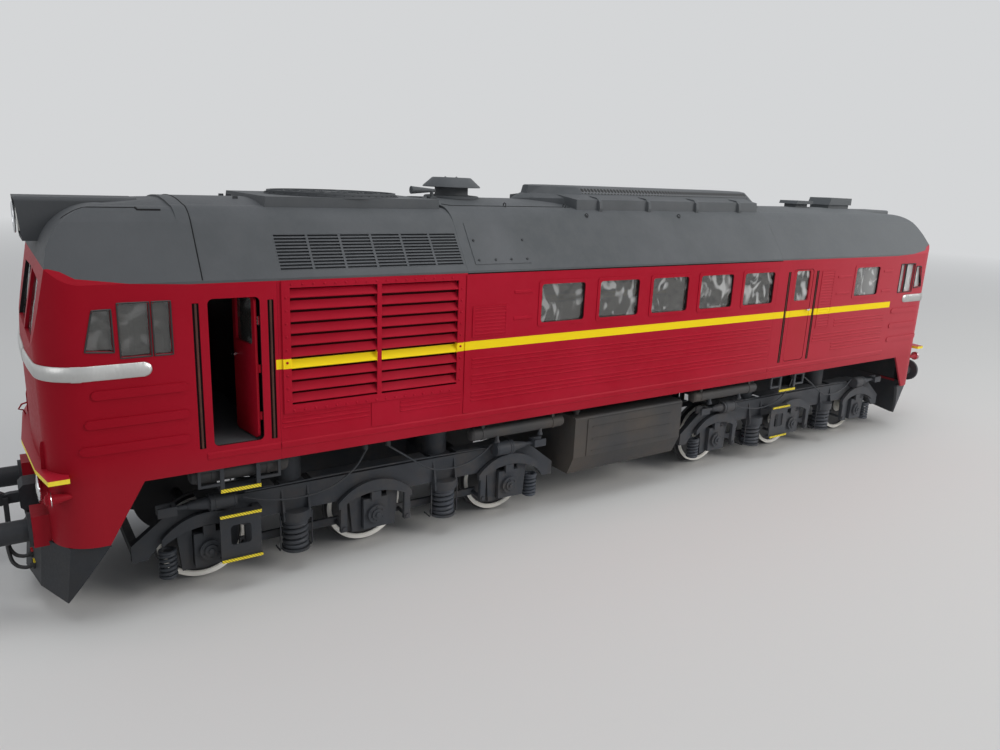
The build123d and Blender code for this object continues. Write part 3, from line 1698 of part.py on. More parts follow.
cross_beam_half = 7.0
cross_beam_low = 38.0
end_bar_half = 2.0
end_bar_low = frame_end_bottom + 3.0
end_bar_high = end_bar_low + 5.0
centre_beam_half = 12.0
centre_beam_low = 40.0
centre_beam_top = 54.0
pivot_boss_radius = 11.0
members = [
    block(x - cross_beam_half, x + cross_beam_half, -frame_inner, frame_inner, cross_beam_low, frame_top)
    for x in (-mid_spring_x, mid_spring_x)
]
centre_beam = block(
    -mid_spring_x, mid_spring_x, -centre_beam_half, centre_beam_half, centre_beam_low, centre_beam_top
)
pivot_boss = post(0, 0, centre_beam_low, pivot_shoulder - side_bearing_gap, pivot_boss_radius)
pivot_hole = post(0, 0, centre_beam_low - beyond, pivot_shoulder + 1, pivot_radius + pivot_clearance)
stacks = [
    post(x, y, frame_top - 2, stack_top, stack_radius)
    for x in (-mid_spring_x, mid_spring_x)
    for y in (-stack_y, stack_y)
]
bogie_frame = members[0] + members[1:] + centre_beam + pivot_boss + stacks - pivot_hole
end_bars = [
    block(x - end_bar_half, x + end_bar_half, -frame_inner, frame_inner, end_bar_low, end_bar_high)
    for x in (-frame_half_length + end_bar_half, frame_half_length - end_bar_half)
]


# Coil springs, each drawn as a core with a rounded turn for every coil
def coil(x, y, low, high, radius, turns):
    pitch = (high - low) / turns
    wire = pitch * 0.34
    core = post(x, y, low, high, radius - wire)
    rings = [
        post(x, y, low + (index + 0.5) * pitch - wire, low + (index + 0.5) * pitch + wire, radius)
        for index in range(turns)
    ]
    return core + [chamfer(ring.edges().filter_by(GeomType.CIRCLE), wire * 0.5) for ring in rings]


springs = []
for x in (-mid_spring_x, mid_spring_x):
    springs.append(coil(x, spring_y, mid_spring_low, mid_spring_high, mid_spring_radius, 5))
for x in (-end_spring_x, end_spring_x):
    springs.append(coil(x, spring_y - 0.5, end_spring_low, end_spring_high, end_spring_radius, 6))

# Axleboxes with round covers, and the arched levers over them with their hanger links
lever_inner = frame_outer + 1.2
lever_outer = lever_inner + 2.6
lever_end_z = 31.0
lever_mid_z = 41.0
lever_reach = 20.0
lever_tip = 3.0
lever_over = 4.5
lever_under = 2.5
link_half = 1.9
link_bottom = 17.0
pin_radius = 1.2
pin_clearance = 0.05
pin_z = 19.0
box_back_y = 44.0
box_low_z = 15.6
box_top_z = 34.0
box_cover_radius = 5.4
hub_radius = 3.2
saddle_half = 3.0
saddle_gap = 0.3


def axlebox(x):
    body = block(x - axlebox_half, x + axlebox_half, box_back_y, lever_inner + 1.6, box_low_z, box_top_z)
    cover = rod((x, lever_inner + 1.0, axle_height), (x, lever_outer + 1.0, axle_height), box_cover_radius)
    hub = rod((x, lever_outer + 0.9, axle_height), (x, lever_outer + 2.0, axle_height), hub_radius)
    saddle = block(
        x - saddle_half,
        x + saddle_half,
        lever_inner,
        lever_outer,
        box_top_z - 1,
        lever_mid_z - lever_under - saddle_gap,
    )
    bore_end = journal_reach + 0.4
    bore_radius = journal_radius + journal_clearance
    bore = rod((x, box_back_y - 1, axle_height), (x, bore_end, axle_height), bore_radius)
    return body + cover + hub + saddle - bore


def lever(x0, x1, link_places):
    """An arched lever with a hanger link at each end that has a spring beam beside it."""
    mid = (x0 + x1) / 2
    ear = lever_end_z + 4.0
    outline = [
        Line((x0 - lever_tip, lever_end_z), (x0 - lever_tip, ear)),
        ThreePointArc((x0 - lever_tip, ear), (mid, lever_mid_z + lever_over), (x1 + lever_tip, ear)),
        Line((x1 + lever_tip, ear), (x1 + lever_tip, lever_end_z)),
        ThreePointArc(
            (x1 + lever_tip, lever_end_z), (mid, lever_mid_z - lever_under), (x0 - lever_tip, lever_end_z)
        ),
    ]
    face = Plane.XZ * make_face(Wire(outline))
    arch = Pos(0, lever_outer, 0) * extrude(face, amount=lever_outer - lever_inner)
    links = [
        block(x - link_half, x + link_half, lever_inner, lever_outer, link_bottom, lever_end_z + 3)
        for x in link_places
    ]
    eyes = [
        rod((x, lever_inner - 1, pin_z), (x, lever_outer + 1, pin_z), pin_radius + pin_clearance)
        for x in link_places
    ]
    return arch + links - eyes


axleboxes = [axlebox(x) for x in axle_offsets]
levers = []
for x in axle_offsets:
    places = [x - lever_reach, x + lever_reach]
    if x < 0:
        places = places[1:]
    if x > 0:
        places = places[:1]
    levers.append(lever(x - lever_reach, x + lever_reach, places))

# Spring beams behind the frame, hung on pins from the links, with a seat for each spring
beam_y0 = 39.5
beam_y1 = 41.5
beam_low = 17.0
beam_high = 21.5
seat_thickness = 1.4
spring_beams = []
for x in (-mid_spring_x, mid_spring_x):
    side = 1 if x > 0 else -1
    pin_places = [side * lever_reach, side * (wheel_base - lever_reach)]
    beam = block(min(pin_places) - 2, max(pin_places) + 2, beam_y0, beam_y1, beam_low, beam_high)
    pin_end = lever_outer + 0.8
    pins = [rod((pin_x, beam_y0, pin_z), (pin_x, pin_end, pin_z), pin_radius) for pin_x in pin_places]
    seat_low = mid_spring_low - seat_thickness
    spring_seat = post(x, spring_y, seat_low, mid_spring_low, mid_spring_radius + 0.6)
    arm = block(x - 3, x + 3, beam_y0, spring_y, seat_low, mid_spring_low)
    riser = block(x - 3, x + 3, beam_y0, beam_y1, seat_low, beam_low + 1)
    spring_beams.append(beam + pins + spring_seat + arm + riser)

# Brake cylinders on the frame ends, each with its cone, rod and yoke
cylinder_y = 54.7
cylinder_z = 51.0
cylinder_radius = 4.4
cylinder_near = 80.0
cylinder_length = 13.1
cylinder_flange = 1.2
cylinder_flange_proud = 0.2
cone_length = 10.3
cylinder_rod_end = 110.0
yoke_length = 8.0
yoke_half = 2.4


def brake_cylinder(side):
    """A cylinder pointing to one end of the bogie."""
    far = cylinder_near + cylinder_length
    near_point = (side * cylinder_near, cylinder_y, cylinder_z)
    far_point = (side * far, cylinder_y, cylinder_z)
    flange_point = (side * (far - cylinder_flange), cylinder_y, cylinder_z)
    rod_point = (side * cylinder_rod_end, cylinder_y, cylinder_z)
    drum = rod(near_point, far_point, cylinder_radius)
    flange = rod(flange_point, far_point, cylinder_radius + cylinder_flange_proud)
    cone = Pos(*far_point) * Rot(0, side * 90, 0) * Cone(
        cylinder_radius - 1.0, 1.6, cone_length, align=(Align.CENTER, Align.CENTER, Align.MIN)
    )
    piston = rod(far_point, rod_point, pin_radius)
    yoke = block(
        side * (cylinder_rod_end - 1),
        side * (cylinder_rod_end + yoke_length),
        cylinder_y - yoke_half - 1,
        cylinder_y + yoke_half + 1,
        cylinder_z - yoke_half,
        cylinder_z + yoke_half,
    )
    yoke -= block(
        side * (cylinder_rod_end + 1),
        side * (cylinder_rod_end + yoke_length + 1),
        cylinder_y - yoke_half + 0.4,
        cylinder_y + yoke_half - 0.4,
        cylinder_z - yoke_half - 1,
        cylinder_z + yoke_half + 1,
    )
    bracket = block(
        side * (cylinder_near + 2),
        side * (cylinder_near + 11),
        frame_outer,
        cylinder_y,
        cylinder_z - cylinder_radius - 0.4,
        cylinder_z - 1,
    )
    return drum + flange + cone + piston + yoke + bracket


cylinders = [brake_cylinder(-1), brake_cylinder(1)]

step_bracket_table = [
    # bogie, which end, doorway over it, where its bracket meets the frame
    ("a", -1, front_door_x, front_door_x + bogie_centre + 10.0),
    ("b", 1, rear_door_x, rear_door_x - bogie_centre - 8.0),
]
for letter, side, door_x, bracket_x in step_bracket_table:
    place = Pos(side * bogie_centre, 0, 0)
    side_frame = plate + bogie_step(door_x - side * bogie_centre, bracket_x)
    save(f"bogie_frame_{letter}", place * bogie_frame, *[place * bar for bar in end_bars])
    save(f"side_frames_{letter}", *[place * piece for piece in both_sides(side_frame)])
    save(f"springs_{letter}", *[place * piece for spring in springs for piece in both_sides(spring)])
    save(f"axleboxes_{letter}", *[place * piece for box in axleboxes for piece in both_sides(box)])
    save(f"levers_{letter}", *[place * piece for arm in levers for piece in both_sides(arm)])
    save(f"spring_beams_{letter}", *[place * piece for beam in spring_beams for piece in both_sides(beam)])
    save(f"brake_cylinders_{letter}", *[place * piece for drum in cylinders for piece in both_sides(drum)])
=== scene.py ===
import functools
import math

import bmesh
import bpy
import numpy as np
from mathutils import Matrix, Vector
from mathutils.bvhtree import BVHTree


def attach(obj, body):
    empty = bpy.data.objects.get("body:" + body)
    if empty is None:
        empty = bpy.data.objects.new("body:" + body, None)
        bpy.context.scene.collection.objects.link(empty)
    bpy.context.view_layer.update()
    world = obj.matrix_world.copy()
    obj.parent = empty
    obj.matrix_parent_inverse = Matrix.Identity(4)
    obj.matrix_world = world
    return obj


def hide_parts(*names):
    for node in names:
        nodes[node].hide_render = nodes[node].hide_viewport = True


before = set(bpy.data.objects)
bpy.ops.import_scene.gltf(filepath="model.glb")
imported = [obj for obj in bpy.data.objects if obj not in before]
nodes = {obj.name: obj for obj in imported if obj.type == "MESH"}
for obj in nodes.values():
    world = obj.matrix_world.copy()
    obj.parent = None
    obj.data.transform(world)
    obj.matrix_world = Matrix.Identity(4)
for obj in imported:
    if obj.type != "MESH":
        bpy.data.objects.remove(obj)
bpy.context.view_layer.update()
mm = 0.001
bogies = {"a": -191.1, "b": 191.1}  # their centres along x, in millimetres
print("frame loaded")


# Materials
def newMaterial(name):
    material = bpy.data.materials.new(name)
    material.use_nodes = True
    tree = material.node_tree
    return material, tree, tree.nodes["Principled BSDF"]


def feed(tree, socket, value):
    # A socket takes a link from another socket, or a plain value
    if isinstance(value, bpy.types.NodeSocket):
        tree.links.new(value, socket)
    elif isinstance(value, (tuple, list)) and len(value) == 3 and socket.type == "RGBA":
        socket.default_value = (*value, 1)
    else:
        socket.default_value = value


def addNode(tree, kind, *values):
    # The values go to the node's first sockets, in order
    node = tree.nodes.new(kind)
    for socket, value in zip(node.inputs, values):
        feed(tree, socket, value)
    return node


def maths(tree, operation, first, second=0.0):
    node = addNode(tree, "ShaderNodeMath", first, second)
    node.operation = operation
    return node.outputs[0]


def mixColour(tree, factor, first, second):
    node = tree.nodes.new("ShaderNodeMix")
    node.data_type = "RGBA"
    feed(tree, node.inputs[0], factor)
    feed(tree, node.inputs[6], first)
    feed(tree, node.inputs[7], second)
    return node.outputs[2]


def noise(tree, place, scale, detail=3.0, roughness=0.55, stretch=(1, 1, 1), swirl=0.0):
    mapping = tree.nodes.new("ShaderNodeMapping")
    mapping.inputs["Scale"].default_value = stretch
    tree.links.new(place, mapping.inputs["Vector"])
    node = tree.nodes.new("ShaderNodeTexNoise")
    tree.links.new(mapping.outputs[0], node.inputs["Vector"])
    node.inputs["Scale"].default_value = scale
    node.inputs["Detail"].default_value = detail
    node.inputs["Roughness"].default_value = roughness
    node.inputs["Distortion"].default_value = swirl
    return node.outputs["Fac"]


def spread(tree, value, low, high):
    return addNode(tree, "ShaderNodeMapRange", value, low, high).outputs[0]


def split(tree, vector):
    return addNode(tree, "ShaderNodeSeparateXYZ", vector).outputs


def places(tree):
    coordinate = tree.nodes.new("ShaderNodeTexCoord").outputs["Object"]
    return coordinate, split(tree, coordinate)


def addBump(tree, shader, height, strength, distance):
    bump = tree.nodes.new("ShaderNodeBump")
    bump.inputs["Strength"].default_value = strength
    bump.inputs["Distance"].default_value = distance
    feed(tree, bump.inputs["Height"], height)
    tree.links.new(bump.outputs[0], shader.inputs["Normal"])


slopeNormal = (0.819, 0.574)  # across and up, on the roof's slope


def zone(tree, axes, limits):
    # 1 inside all the limits, in millimetres: ay is the distance from the middle plane,
    # slope the distance out along the roof slope's normal
    inside = None
    for key, (low, high) in limits.items():
        if key == "slope":
            across = maths(tree, "MULTIPLY", maths(tree, "ABSOLUTE", axes[1]), slopeNormal[0])
            value = maths(tree, "ADD", across, maths(tree, "MULTIPLY", axes[2], slopeNormal[1]))
        elif key == "ay":
            value = maths(tree, "ABSOLUTE", axes[1])
        else:
            value = axes["xyz".index(key)]
        for operation, edge in (("GREATER_THAN", low), ("LESS_THAN", high)):
            if edge is None:
                continue
            part = maths(tree, operation, value, edge * mm)
            inside = part if inside is None else maths(tree, "MULTIPLY", inside, part)
    return inside


noiseEdges = {"patches": (0.35, 0.7), "dust": (0.45, 0.8), "marks": (0.3, 0.7)}


def paint(name, settings):
    # A painted or bare surface with patchy colour, brush grain, painted zones and colour ramps along the
    # axes, which carry painted light and shade as well as fading
    material, tree, shader = newMaterial(name)
    coordinate, axes = places(tree)
    patches = noise(tree, coordinate, settings.get("patchScale", 25), 4)
    share = spread(tree, patches, *noiseEdges["patches"])
    colour = mixColour(tree, share, settings["colour"], settings["worn"])
    if "dust" in settings:
        fine = noise(tree, coordinate, settings.get("dustScale", 140), 5, 0.65)
        share = spread(tree, fine, *noiseEdges["dust"])
        amount = maths(tree, "MULTIPLY", share, settings.get("dustAmount", 0.5))
        colour = mixColour(tree, amount, colour, settings["dust"])
    # colour ramps along an axis: painted light and shade, and fading
    for axis, low, high, tint, amount in settings.get("lightShadeAndFadeRamps", []):
        share = spread(tree, axes["xyz".index(axis)], low * mm, high * mm)
        colour = mixColour(tree, maths(tree, "MULTIPLY", share, amount), colour, tint)
    for limits, tint in settings.get("zones", []):
        colour = mixColour(tree, zone(tree, axes, limits), colour, tint)
    feed(tree, shader.inputs["Base Color"], colour)
    shader.inputs["Specular IOR Level"].default_value = settings.get("specular", 0.5)
    stretch = settings.get("stretch", (1, 1, 1))
    grain = noise(tree, coordinate, settings.get("grainScale", 500), 3, 0.6, stretch)
    rough = settings["roughness"]
    swing = settings.get("roughnessSwing", 0.12)
    roughness = maths(tree, "ADD", maths(tree, "MULTIPLY", grain, swing * 2), rough - swing)
    feed(tree, shader.inputs["Roughness"], roughness)
    shader.inputs["Metallic"].default_value = settings.get("metallic", 0.0)
    addBump(tree, shader, grain, settings.get("bump", 0.25), settings.get("bumpDistance", 0.0002))
    return material


def named(*starts):
    return [name for name in sorted(nodes) if name.startswith(starts)]


def dress(material, *starts):
    for name in named(*starts):
        mesh = nodes[name].data
        mesh.materials.clear()
        mesh.materials.append(material)


stripeYellow = (1.0, 0.74, 0.012)
# near black painted shade for the faces inside the body and the cabs
insideShade = (0.012, 0.011, 0.012)
redSettings = {
    "colour": (0.4, 0.006, 0.022),
    "worn": (0.45, 0.01, 0.03),
    "dust": (0.41, 0.016, 0.032),
    "dustAmount": 0.35,
    "roughness": 0.46,
    "specular": 0.08,
    "grainScale": 420,
    "stretch": (0.5, 1, 1.6),
    "bump": 0.2,
    # painted shade darkens the red towards the nose at negative x; the far end is paler partly from faded,
    # dusty paint and partly as painted light; the red is darker towards the bottom, below z 86
    "lightShadeAndFadeRamps": [
        ("x", -215, -330, (0.27, 0.003, 0.011), 0.75),
        ("x", 60, 310, (0.52, 0.085, 0.105), 0.7),
        ("z", 86, 72, (0.3, 0.022, 0.03), 0.35),
    ],
}
stripeHeights = (119.8, 124.8)
stripeZone = ({"z": stripeHeights, "x": (-250.9, 290.5), "ay": (63.5, None)}, stripeYellow)
wallZones = [
    # painted shade: near black on all faces inside the wall's outer skin, the floors of the handrail slots
    # among them
    ({"ay": (-1, 64.7)}, insideShade),
    # painted shade: dark red on the openings' edges
    ({"ay": (64.69, 65.42)}, (0.07, 0.014, 0.016)),  # the openings' edges
    stripeZone,
    # painted shade: near black along the top of the side walls, in the gap under the engine roof
    ({"z": (163.55, None), "ay": (64.6, None), "x": (-141, 136)}, (0.006, 0.006, 0.006)),
]
louvreZones = [
    # painted shade: dark red on the backing behind the slats
    ({"ay": (-1, 63.2)}, (0.03, 0.0015, 0.003)),
    ({"z": (119.1, 124.2), "x": (-243.5, -147.0), "ay": (63.3, 66.27)}, stripeYellow),  # on the slats
    ({"z": stripeHeights, "x": (-250.9, -243.4), "ay": (66.2, None)}, stripeYellow),
    ({"z": stripeHeights, "x": (-147.1, 0), "ay": (66.2, None)}, stripeYellow),
]
redPaint = paint("redPaint", redSettings)
wallPaint = paint("wallPaint", {**redSettings, "zones": wallZones})
stripedPaint = paint("stripedPaint", {**redSettings, "zones": [stripeZone]})
louvrePaint = paint("louvrePaint", {**redSettings, "zones": louvreZones})
dress(redPaint, "cab_shell")
cabinSettings = {"colour": insideShade, "worn": (0.02, 0.018, 0.019), "roughness": 0.7, "specular": 0.1}
cabinShade = paint("cabinShade", cabinSettings)
# The cabs' inside faces look towards the cab's middle and get a near black painted shade
insideLimits = {"heartX": 300, "heartZ": 125, "wallY": 64.6, "frontX": 355.0, "facing": 0.35}
for name in named("cab_shell"):
    mesh = nodes[name].data
    mesh.materials.append(cabinShade)
    side = -1 if name.endswith("a") else 1
    heart = Vector((side * insideLimits["heartX"], 0, insideLimits["heartZ"]))
    for polygon in mesh.polygons:
        place = polygon.center / mm
        facing = polygon.normal.dot((heart - place).normalized())
        inShell = abs(place.y) < insideLimits["wallY"] and side * place.x < insideLimits["frontX"]
        if facing > insideLimits["facing"] and inShell:
            polygon.material_index = 1
dress(wallPaint, "side_wall", "door_panels")
dress(louvrePaint, "side_louvres")
dress(stripedPaint, "side_trim")

roofSettings = {
    "colour": (0.088, 0.094, 0.099),
    "worn": (0.115, 0.12, 0.127),
    "dust": (0.135, 0.138, 0.142),
    "dustAmount": 0.4,
    "dustScale": 60,
    "roughness": 0.62,
    "specular": 0.2,
    "grainScale": 600,
    "stretch": (1.0, 0.6, 0.6),
    "bump": 0.3,
    # painted shade darkens the roof towards the nose at negative x and painted light lightens it towards the
    # far end; grilles, lamp boxes and dark roof fittings take these ramps too
    "lightShadeAndFadeRamps": [("x", -150, -340, (0.062, 0.065, 0.07), 0.7), ("x", 0, 300, (0.16, 0.17, 0.176), 0.75)],
}
roofPaint = paint("roofPaint", roofSettings)
# painted shade: dark in the grille's slots, below the slope's outer face
grilleShadeZones = [({"slope": (-1, 148.0)}, (0.022, 0.024, 0.027))]
dress(roofPaint, "cab_roof", "roof_", "fan_ring", "silencer")
dress(paint("grillePaint", {**roofSettings, "zones": grilleShadeZones}), "roof_grilles")
boxSettings = {**roofSettings, "colour": (0.07, 0.075, 0.08), "worn": (0.09, 0.095, 0.1)}
dress(paint("lampBoxPaint", boxSettings), "headlight_boxes")

gearSettings = {
    "colour": (0.042, 0.047, 0.056),
    "worn": (0.062, 0.066, 0.075),
    "dust": (0.12, 0.098, 0.08),
    "dustAmount": 0.55,
    "dustScale": 70,
    "roughness": 0.58,
    "specular": 0.25,
    "grainScale": 700,
    "bump": 0.3,
    # painted shade darkens the running gear towards negative x and painted light lightens it towards the far
    # end; the tank, springs, underframe and fittings take these ramps too
    "lightShadeAndFadeRamps": [("x", -120, -330, (0.02, 0.022, 0.025), 0.8), ("x", 20, 250, (0.085, 0.088, 0.096), 0.5)],
}
gearPaint = paint("gearPaint", gearSettings)
dress(gearPaint, "bogie_frame", "side_frames", "axleboxes", "levers", "spring_beams", "brake_cylinders")
dress(gearPaint, "body_steps", "couplers", "brake_hoses", "ploughs", "buffers")
tankSettings = {
    **gearSettings,
    "colour": (0.05, 0.05, 0.053),
    "worn": (0.072, 0.068, 0.065),
    "dust": (0.11, 0.084, 0.062),
    "dustScale": 30,
}
dress(paint("tankPaint", tankSettings), "fuel_tank", "air_reservoirs")
springSettings = {**gearSettings, "colour": (0.06, 0.07, 0.088), "dustAmount": 0.25, "roughness": 0.5}
springPaint = paint("springPaint", springSettings)
dress(springPaint, "springs")
underSettings = {**gearSettings, "colour": (0.02, 0.021, 0.023), "worn": (0.03, 0.03, 0.032)}
dress(paint("underPaint", underSettings), "underframe", "bulkheads")


def slantedPaint(name, settings):
    # Fine slanting marks on a patchy ground
    material, tree, shader = newMaterial(name)
    coordinate, axes = places(tree)
    first, second = (axes[index] for index in settings["axes"])
    slant = maths(tree, "DIVIDE", maths(tree, "ADD", first, second), settings["markPitch"] * mm)
    mark = maths(tree, "LESS_THAN", maths(tree, "FRACT", slant), settings["markShare"])
    wear = spread(tree, noise(tree, coordinate, settings["patchScale"]), *noiseEdges["marks"])
    base = mixColour(tree, wear, settings["colour"], settings["worn"])
    feed(tree, shader.inputs["Base Color"], mixColour(tree, mark, base, settings["marks"]))
    shader.inputs["Roughness"].default_value = settings["roughness"]
    return material


chequerSettings = {
    "axes": (0, 1),
    "patchScale": 300,
    "colour": (0.16, 0.165, 0.17),
    "worn": (0.16, 0.165, 0.17),
    "marks": (0.03, 0.031, 0.034),
    "markPitch": 1.5,
    "markShare": 0.6,
    "roughness": 0.55,
}
dress(slantedPaint("chequerPaint", chequerSettings), "floor")
fittingSettings = {**gearSettings, "colour": (0.1, 0.105, 0.11), "worn": (0.13, 0.13, 0.13)}
dress(paint("fittingPaint", fittingSettings), "cab_fittings")

wheelSettings = {
    "colour": (0.95, 0.91, 0.83),
    "worn": (0.97, 0.95, 0.89),
    "dust": (0.6, 0.52, 0.4),
    "dustAmount": 0.08,
    "roughness": 0.5,
    "zones": [({"ay": (-1, 35.3)}, (0.035, 0.035, 0.038)), ({"ay": (43.5, None)}, (0.05, 0.05, 0.055))],
}
dress(paint("wheelPaint", wheelSettings), "wheelset")

foilSettings = {
    "colour": (0.5, 0.5, 0.49),
    "worn": (0.62, 0.62, 0.61),
    "roughness": 0.33,
    "metallic": 0.85,
    "grainScale": 130,
    "stretch": (1, 1, 0.4),
    "bump": 0.8,
    "bumpDistance": 0.0008,
}
foil = paint("foil", foilSettings)
dress(foil, "nose_bands")
railSettings = {
    "colour": (0.055, 0.012, 0.01),
    "worn": (0.09, 0.026, 0.018),
    "dust": (0.2, 0.11, 0.04),
    "dustAmount": 0.3,
    "roughness": 0.4,
    "metallic": 0.2,
}
dress(paint("railPaint", railSettings), "door_handrails")
dress(redPaint, "buffer_boxes", "tail_lamps")


def clearMaterial(name, settings):
    # Thin clear film, with soft crumples whose edges catch the light, and painted reflections: pale glare
    # painted into its colour in patches, stronger along x
    material, tree, shader = newMaterial(name)
    coordinate, axes = places(tree)
    crumple = noise(tree, coordinate, settings["crumpleScale"], 2, 0.4)
    addBump(tree, shader, crumple, settings["crumple"], settings["crumpleDepth"])
    colour = settings["colour"]
    # painted reflection: pale glare patches and a paler ground painted into the film's colour
    if "sheen" in settings:
        cloud = noise(tree, coordinate, settings["sheenScale"], 1, 0.4, (1, 1, 0.7), settings["sheenSwirl"])
        glare = spread(tree, cloud, *settings["sheenEdges"])
        light, low, high, least, most = settings["sheen"]
        growth = spread(tree, axes[0], low * mm, high * mm)
        amount = maths(tree, "ADD", maths(tree, "MULTIPLY", growth, most - least), least)
        colour = mixColour(tree, maths(tree, "MULTIPLY", glare, amount), colour, light)
        low, high, most = settings["paintedPaleReflection"]
        paintedPaleReflection = spread(tree, axes[0], low * mm, high * mm)
        colour = mixColour(tree, maths(tree, "MULTIPLY", paintedPaleReflection, most), colour, light)
    feed(tree, shader.inputs["Base Color"], colour)
    shader.inputs["Roughness"].default_value = settings["roughness"]
    shader.inputs["Alpha"].default_value = settings["alpha"]
    shader.inputs["IOR"].default_value = settings["refraction"]
    shader.inputs["Specular IOR Level"].default_value = settings["specular"]
    return material


filmSettings = {
    "colour": (0.06, 0.06, 0.056),
    "crumpleScale": 55,
    "crumple": 1.0,
    "crumpleDepth": 0.002,
    "refraction": 1.6,
    # painted glare, a painted reflection: its colour, then from where to where along x it grows, and how
    # strong it is there
    "sheen": ((0.8, 0.81, 0.8), -320, 290, 0.12, 1.0),
    "sheenScale": 62,
    "sheenSwirl": 2.4,
    "sheenEdges": (0.53, 0.66),
    # the ground is painted paler too, as a painted reflection: from where to where along x, and how much
    "paintedPaleReflection": (225, 300, 0.8),
    "roughness": 0.06,
    "alpha": 0.7,
    "specular": 0.9,
}
clearFilm = clearMaterial("clearFilm", filmSettings)
dress(clearFilm, "glazing")

# Doors: red leaves, film in their windows, bright handles
doorSettings = {
    **redSettings,
    "colour": (0.4, 0.007, 0.016),
    "zones": [({**stripeZone[0], "ay": (65.3, 65.46)}, stripeYellow)],
}
doorPaint = paint("doorPaint", doorSettings)
chromeSettings = {
    "colour": (0.6, 0.61, 0.63),
    "worn": (0.7, 0.71, 0.73),
    "roughness": 0.22,
    "metallic": 0.9,
    "bump": 0.05,
}
chrome = paint("chrome", chromeSettings)
leafSettings = {"leafSide": 0.75, "paneSides": (0.61, 1.1), "paneLow": 129.0, "handleHeights": (122.6, 127.2)}
low, high = leafSettings["handleHeights"]
near, far = leafSettings["paneSides"]
for name in named("door_front", "door_rear"):
    # The faces of the pane and the handle are found by their distance from the leaf's middle plane
    mesh = nodes[name].data
    dress(doorPaint, name)
    mesh.materials.append(clearFilm)
    mesh.materials.append(chrome)
    largest = sorted(mesh.polygons, key=lambda face: -face.area)[:2]
    across = Vector((largest[0].normal.x, largest[0].normal.y, 0)).normalized()
    middle = sum((face.center / mm).dot(across) for face in largest) / 2
    for polygon in mesh.polygons:
        centre = polygon.center / mm
        side = abs(centre.dot(across) - middle)
        if near < side < far and centre.z > leafSettings["paneLow"]:
            polygon.material_index = 1
        if side > leafSettings["leafSide"] and low < centre.z < high:
            polygon.material_index = 2
print("cad nodes painted")


# Shapes for the small parts, in millimetres
def boxShape(low, high, place=(0, 0, 0)):
    (x0, y0, z0), (x1, y1, z1) = [[a + b for a, b in zip(place, corner)] for corner in (low, high)]
    points = [(x, y, z) for z in (z0, z1) for y in (y0, y1) for x in (x0, x1)]
    faces = [(0, 2, 3, 1), (4, 5, 7, 6), (0, 1, 5, 4), (2, 6, 7, 3), (0, 4, 6, 2), (1, 3, 7, 5)]
    return points, faces


def frameFor(direction):
    direction = Vector(direction).normalized()
    side = direction.orthogonal().normalized()
    return direction, side, direction.cross(side)


def loftShape(rings, closed=False):
    # Skins closed rings of equal count one after another, with flat ends or back to the first
    count = len(rings[0])
    points = [tuple(point) for ring in rings for point in ring]
    faces = []
    for index in range(len(rings) if closed else len(rings) - 1):
        low = index * count
        high = (index + 1) % len(rings) * count
        for step in range(count):
            after = (step + 1) % count
            faces.append((low + step, low + after, high + after, high + step))
    if not closed:
        faces.append(tuple(range(count)))
        faces.append(tuple(range((len(rings) - 1) * count, len(rings) * count)))
    return points, faces


def circlePoints(centre, side, up, radius, count, start=0.0):
    angles = [2 * math.pi * (step + start) / count for step in range(count)]
    return [centre + (side * math.cos(angle) + up * math.sin(angle)) * radius for angle in angles]


def turnedShape(centre, direction, profile, sides=12):
    # A closed shape turned about a line: the profile lists radius and distance along it
    forward, side, up = frameFor(direction)
    spots = [(radius, Vector(centre) + forward * reach) for radius, reach in profile]
    return loftShape([circlePoints(spot, side, up, radius, sides) for radius, spot in spots])


# How far domes and bolts reach into what they stand on, then shares of the radius and of the height
studSettings = {"sunk": 0.3, "dome": [(1, 0.35), (0.72, 0.8), (0.25, 1)], "bolt": [(1, 0.85), (0.85, 1)]}


def domeShape(centre, direction, radius, height, kind="dome", sides=8):
    profile = [(radius, -studSettings["sunk"])]
    profile += [(radius * across, height * along) for across, along in studSettings[kind]]
    return turnedShape(centre, direction, profile, sides)


def boltShape(centre, direction, radius, height):
    return domeShape(centre, direction, radius, height, "bolt", 6)


def boltCircle(centre, across, up, settings):
    # Bolts round a circle in the plane of across and up
    across, up = Vector(across), Vector(up)
    spots = circlePoints(Vector(centre), across, up, settings["circle"], settings["count"], 0.5)
    return [boltShape(spot, across.cross(up), *settings["bolt"]) for spot in spots]


def smoothPath(corners, steps=6):
    # A soft curve through the corners
    spots = [Vector(corner) for corner in corners]
    spots = [2 * spots[0] - spots[1], *spots, 2 * spots[-1] - spots[-2]]
    path = []
    for index in range(1, len(spots) - 2):
        before, start, end, after = spots[index - 1 : index + 3]
        for step in range(steps):
            t = step / steps
            bend = 2 * before - 5 * start + 4 * end - after
            swing = 3 * start - before - 3 * end + after
            path.append(0.5 * (2 * start + (end - before) * t + bend * t * t + swing * t**3))
    path.append(spots[-2])
    return path


def tubeShape(path, radius, sides=8, closed=False):
    path = [Vector(spot) for spot in path]
    rings = []
    side = None
    count = len(path)
    for index, spot in enumerate(path):
        if closed:
            forward = (path[(index + 1) % count] - path[index - 1]).normalized()
        else:
            forward = (path[min(index + 1, count - 1)] - path[max(index - 1, 0)]).normalized()
        if side is None:
            side = forward.orthogonal().normalized()
        side = (side - forward * side.dot(forward)).normalized()
        rings.append(circlePoints(spot, side, forward.cross(side), radius, sides))
    return loftShape(rings, closed)


def ringShape(centre, direction, radius, wire, steps=32, sides=8):
    forward, side, up = frameFor(direction)
    return tubeShape(circlePoints(Vector(centre), side, up, radius, steps), wire, sides, closed=True)


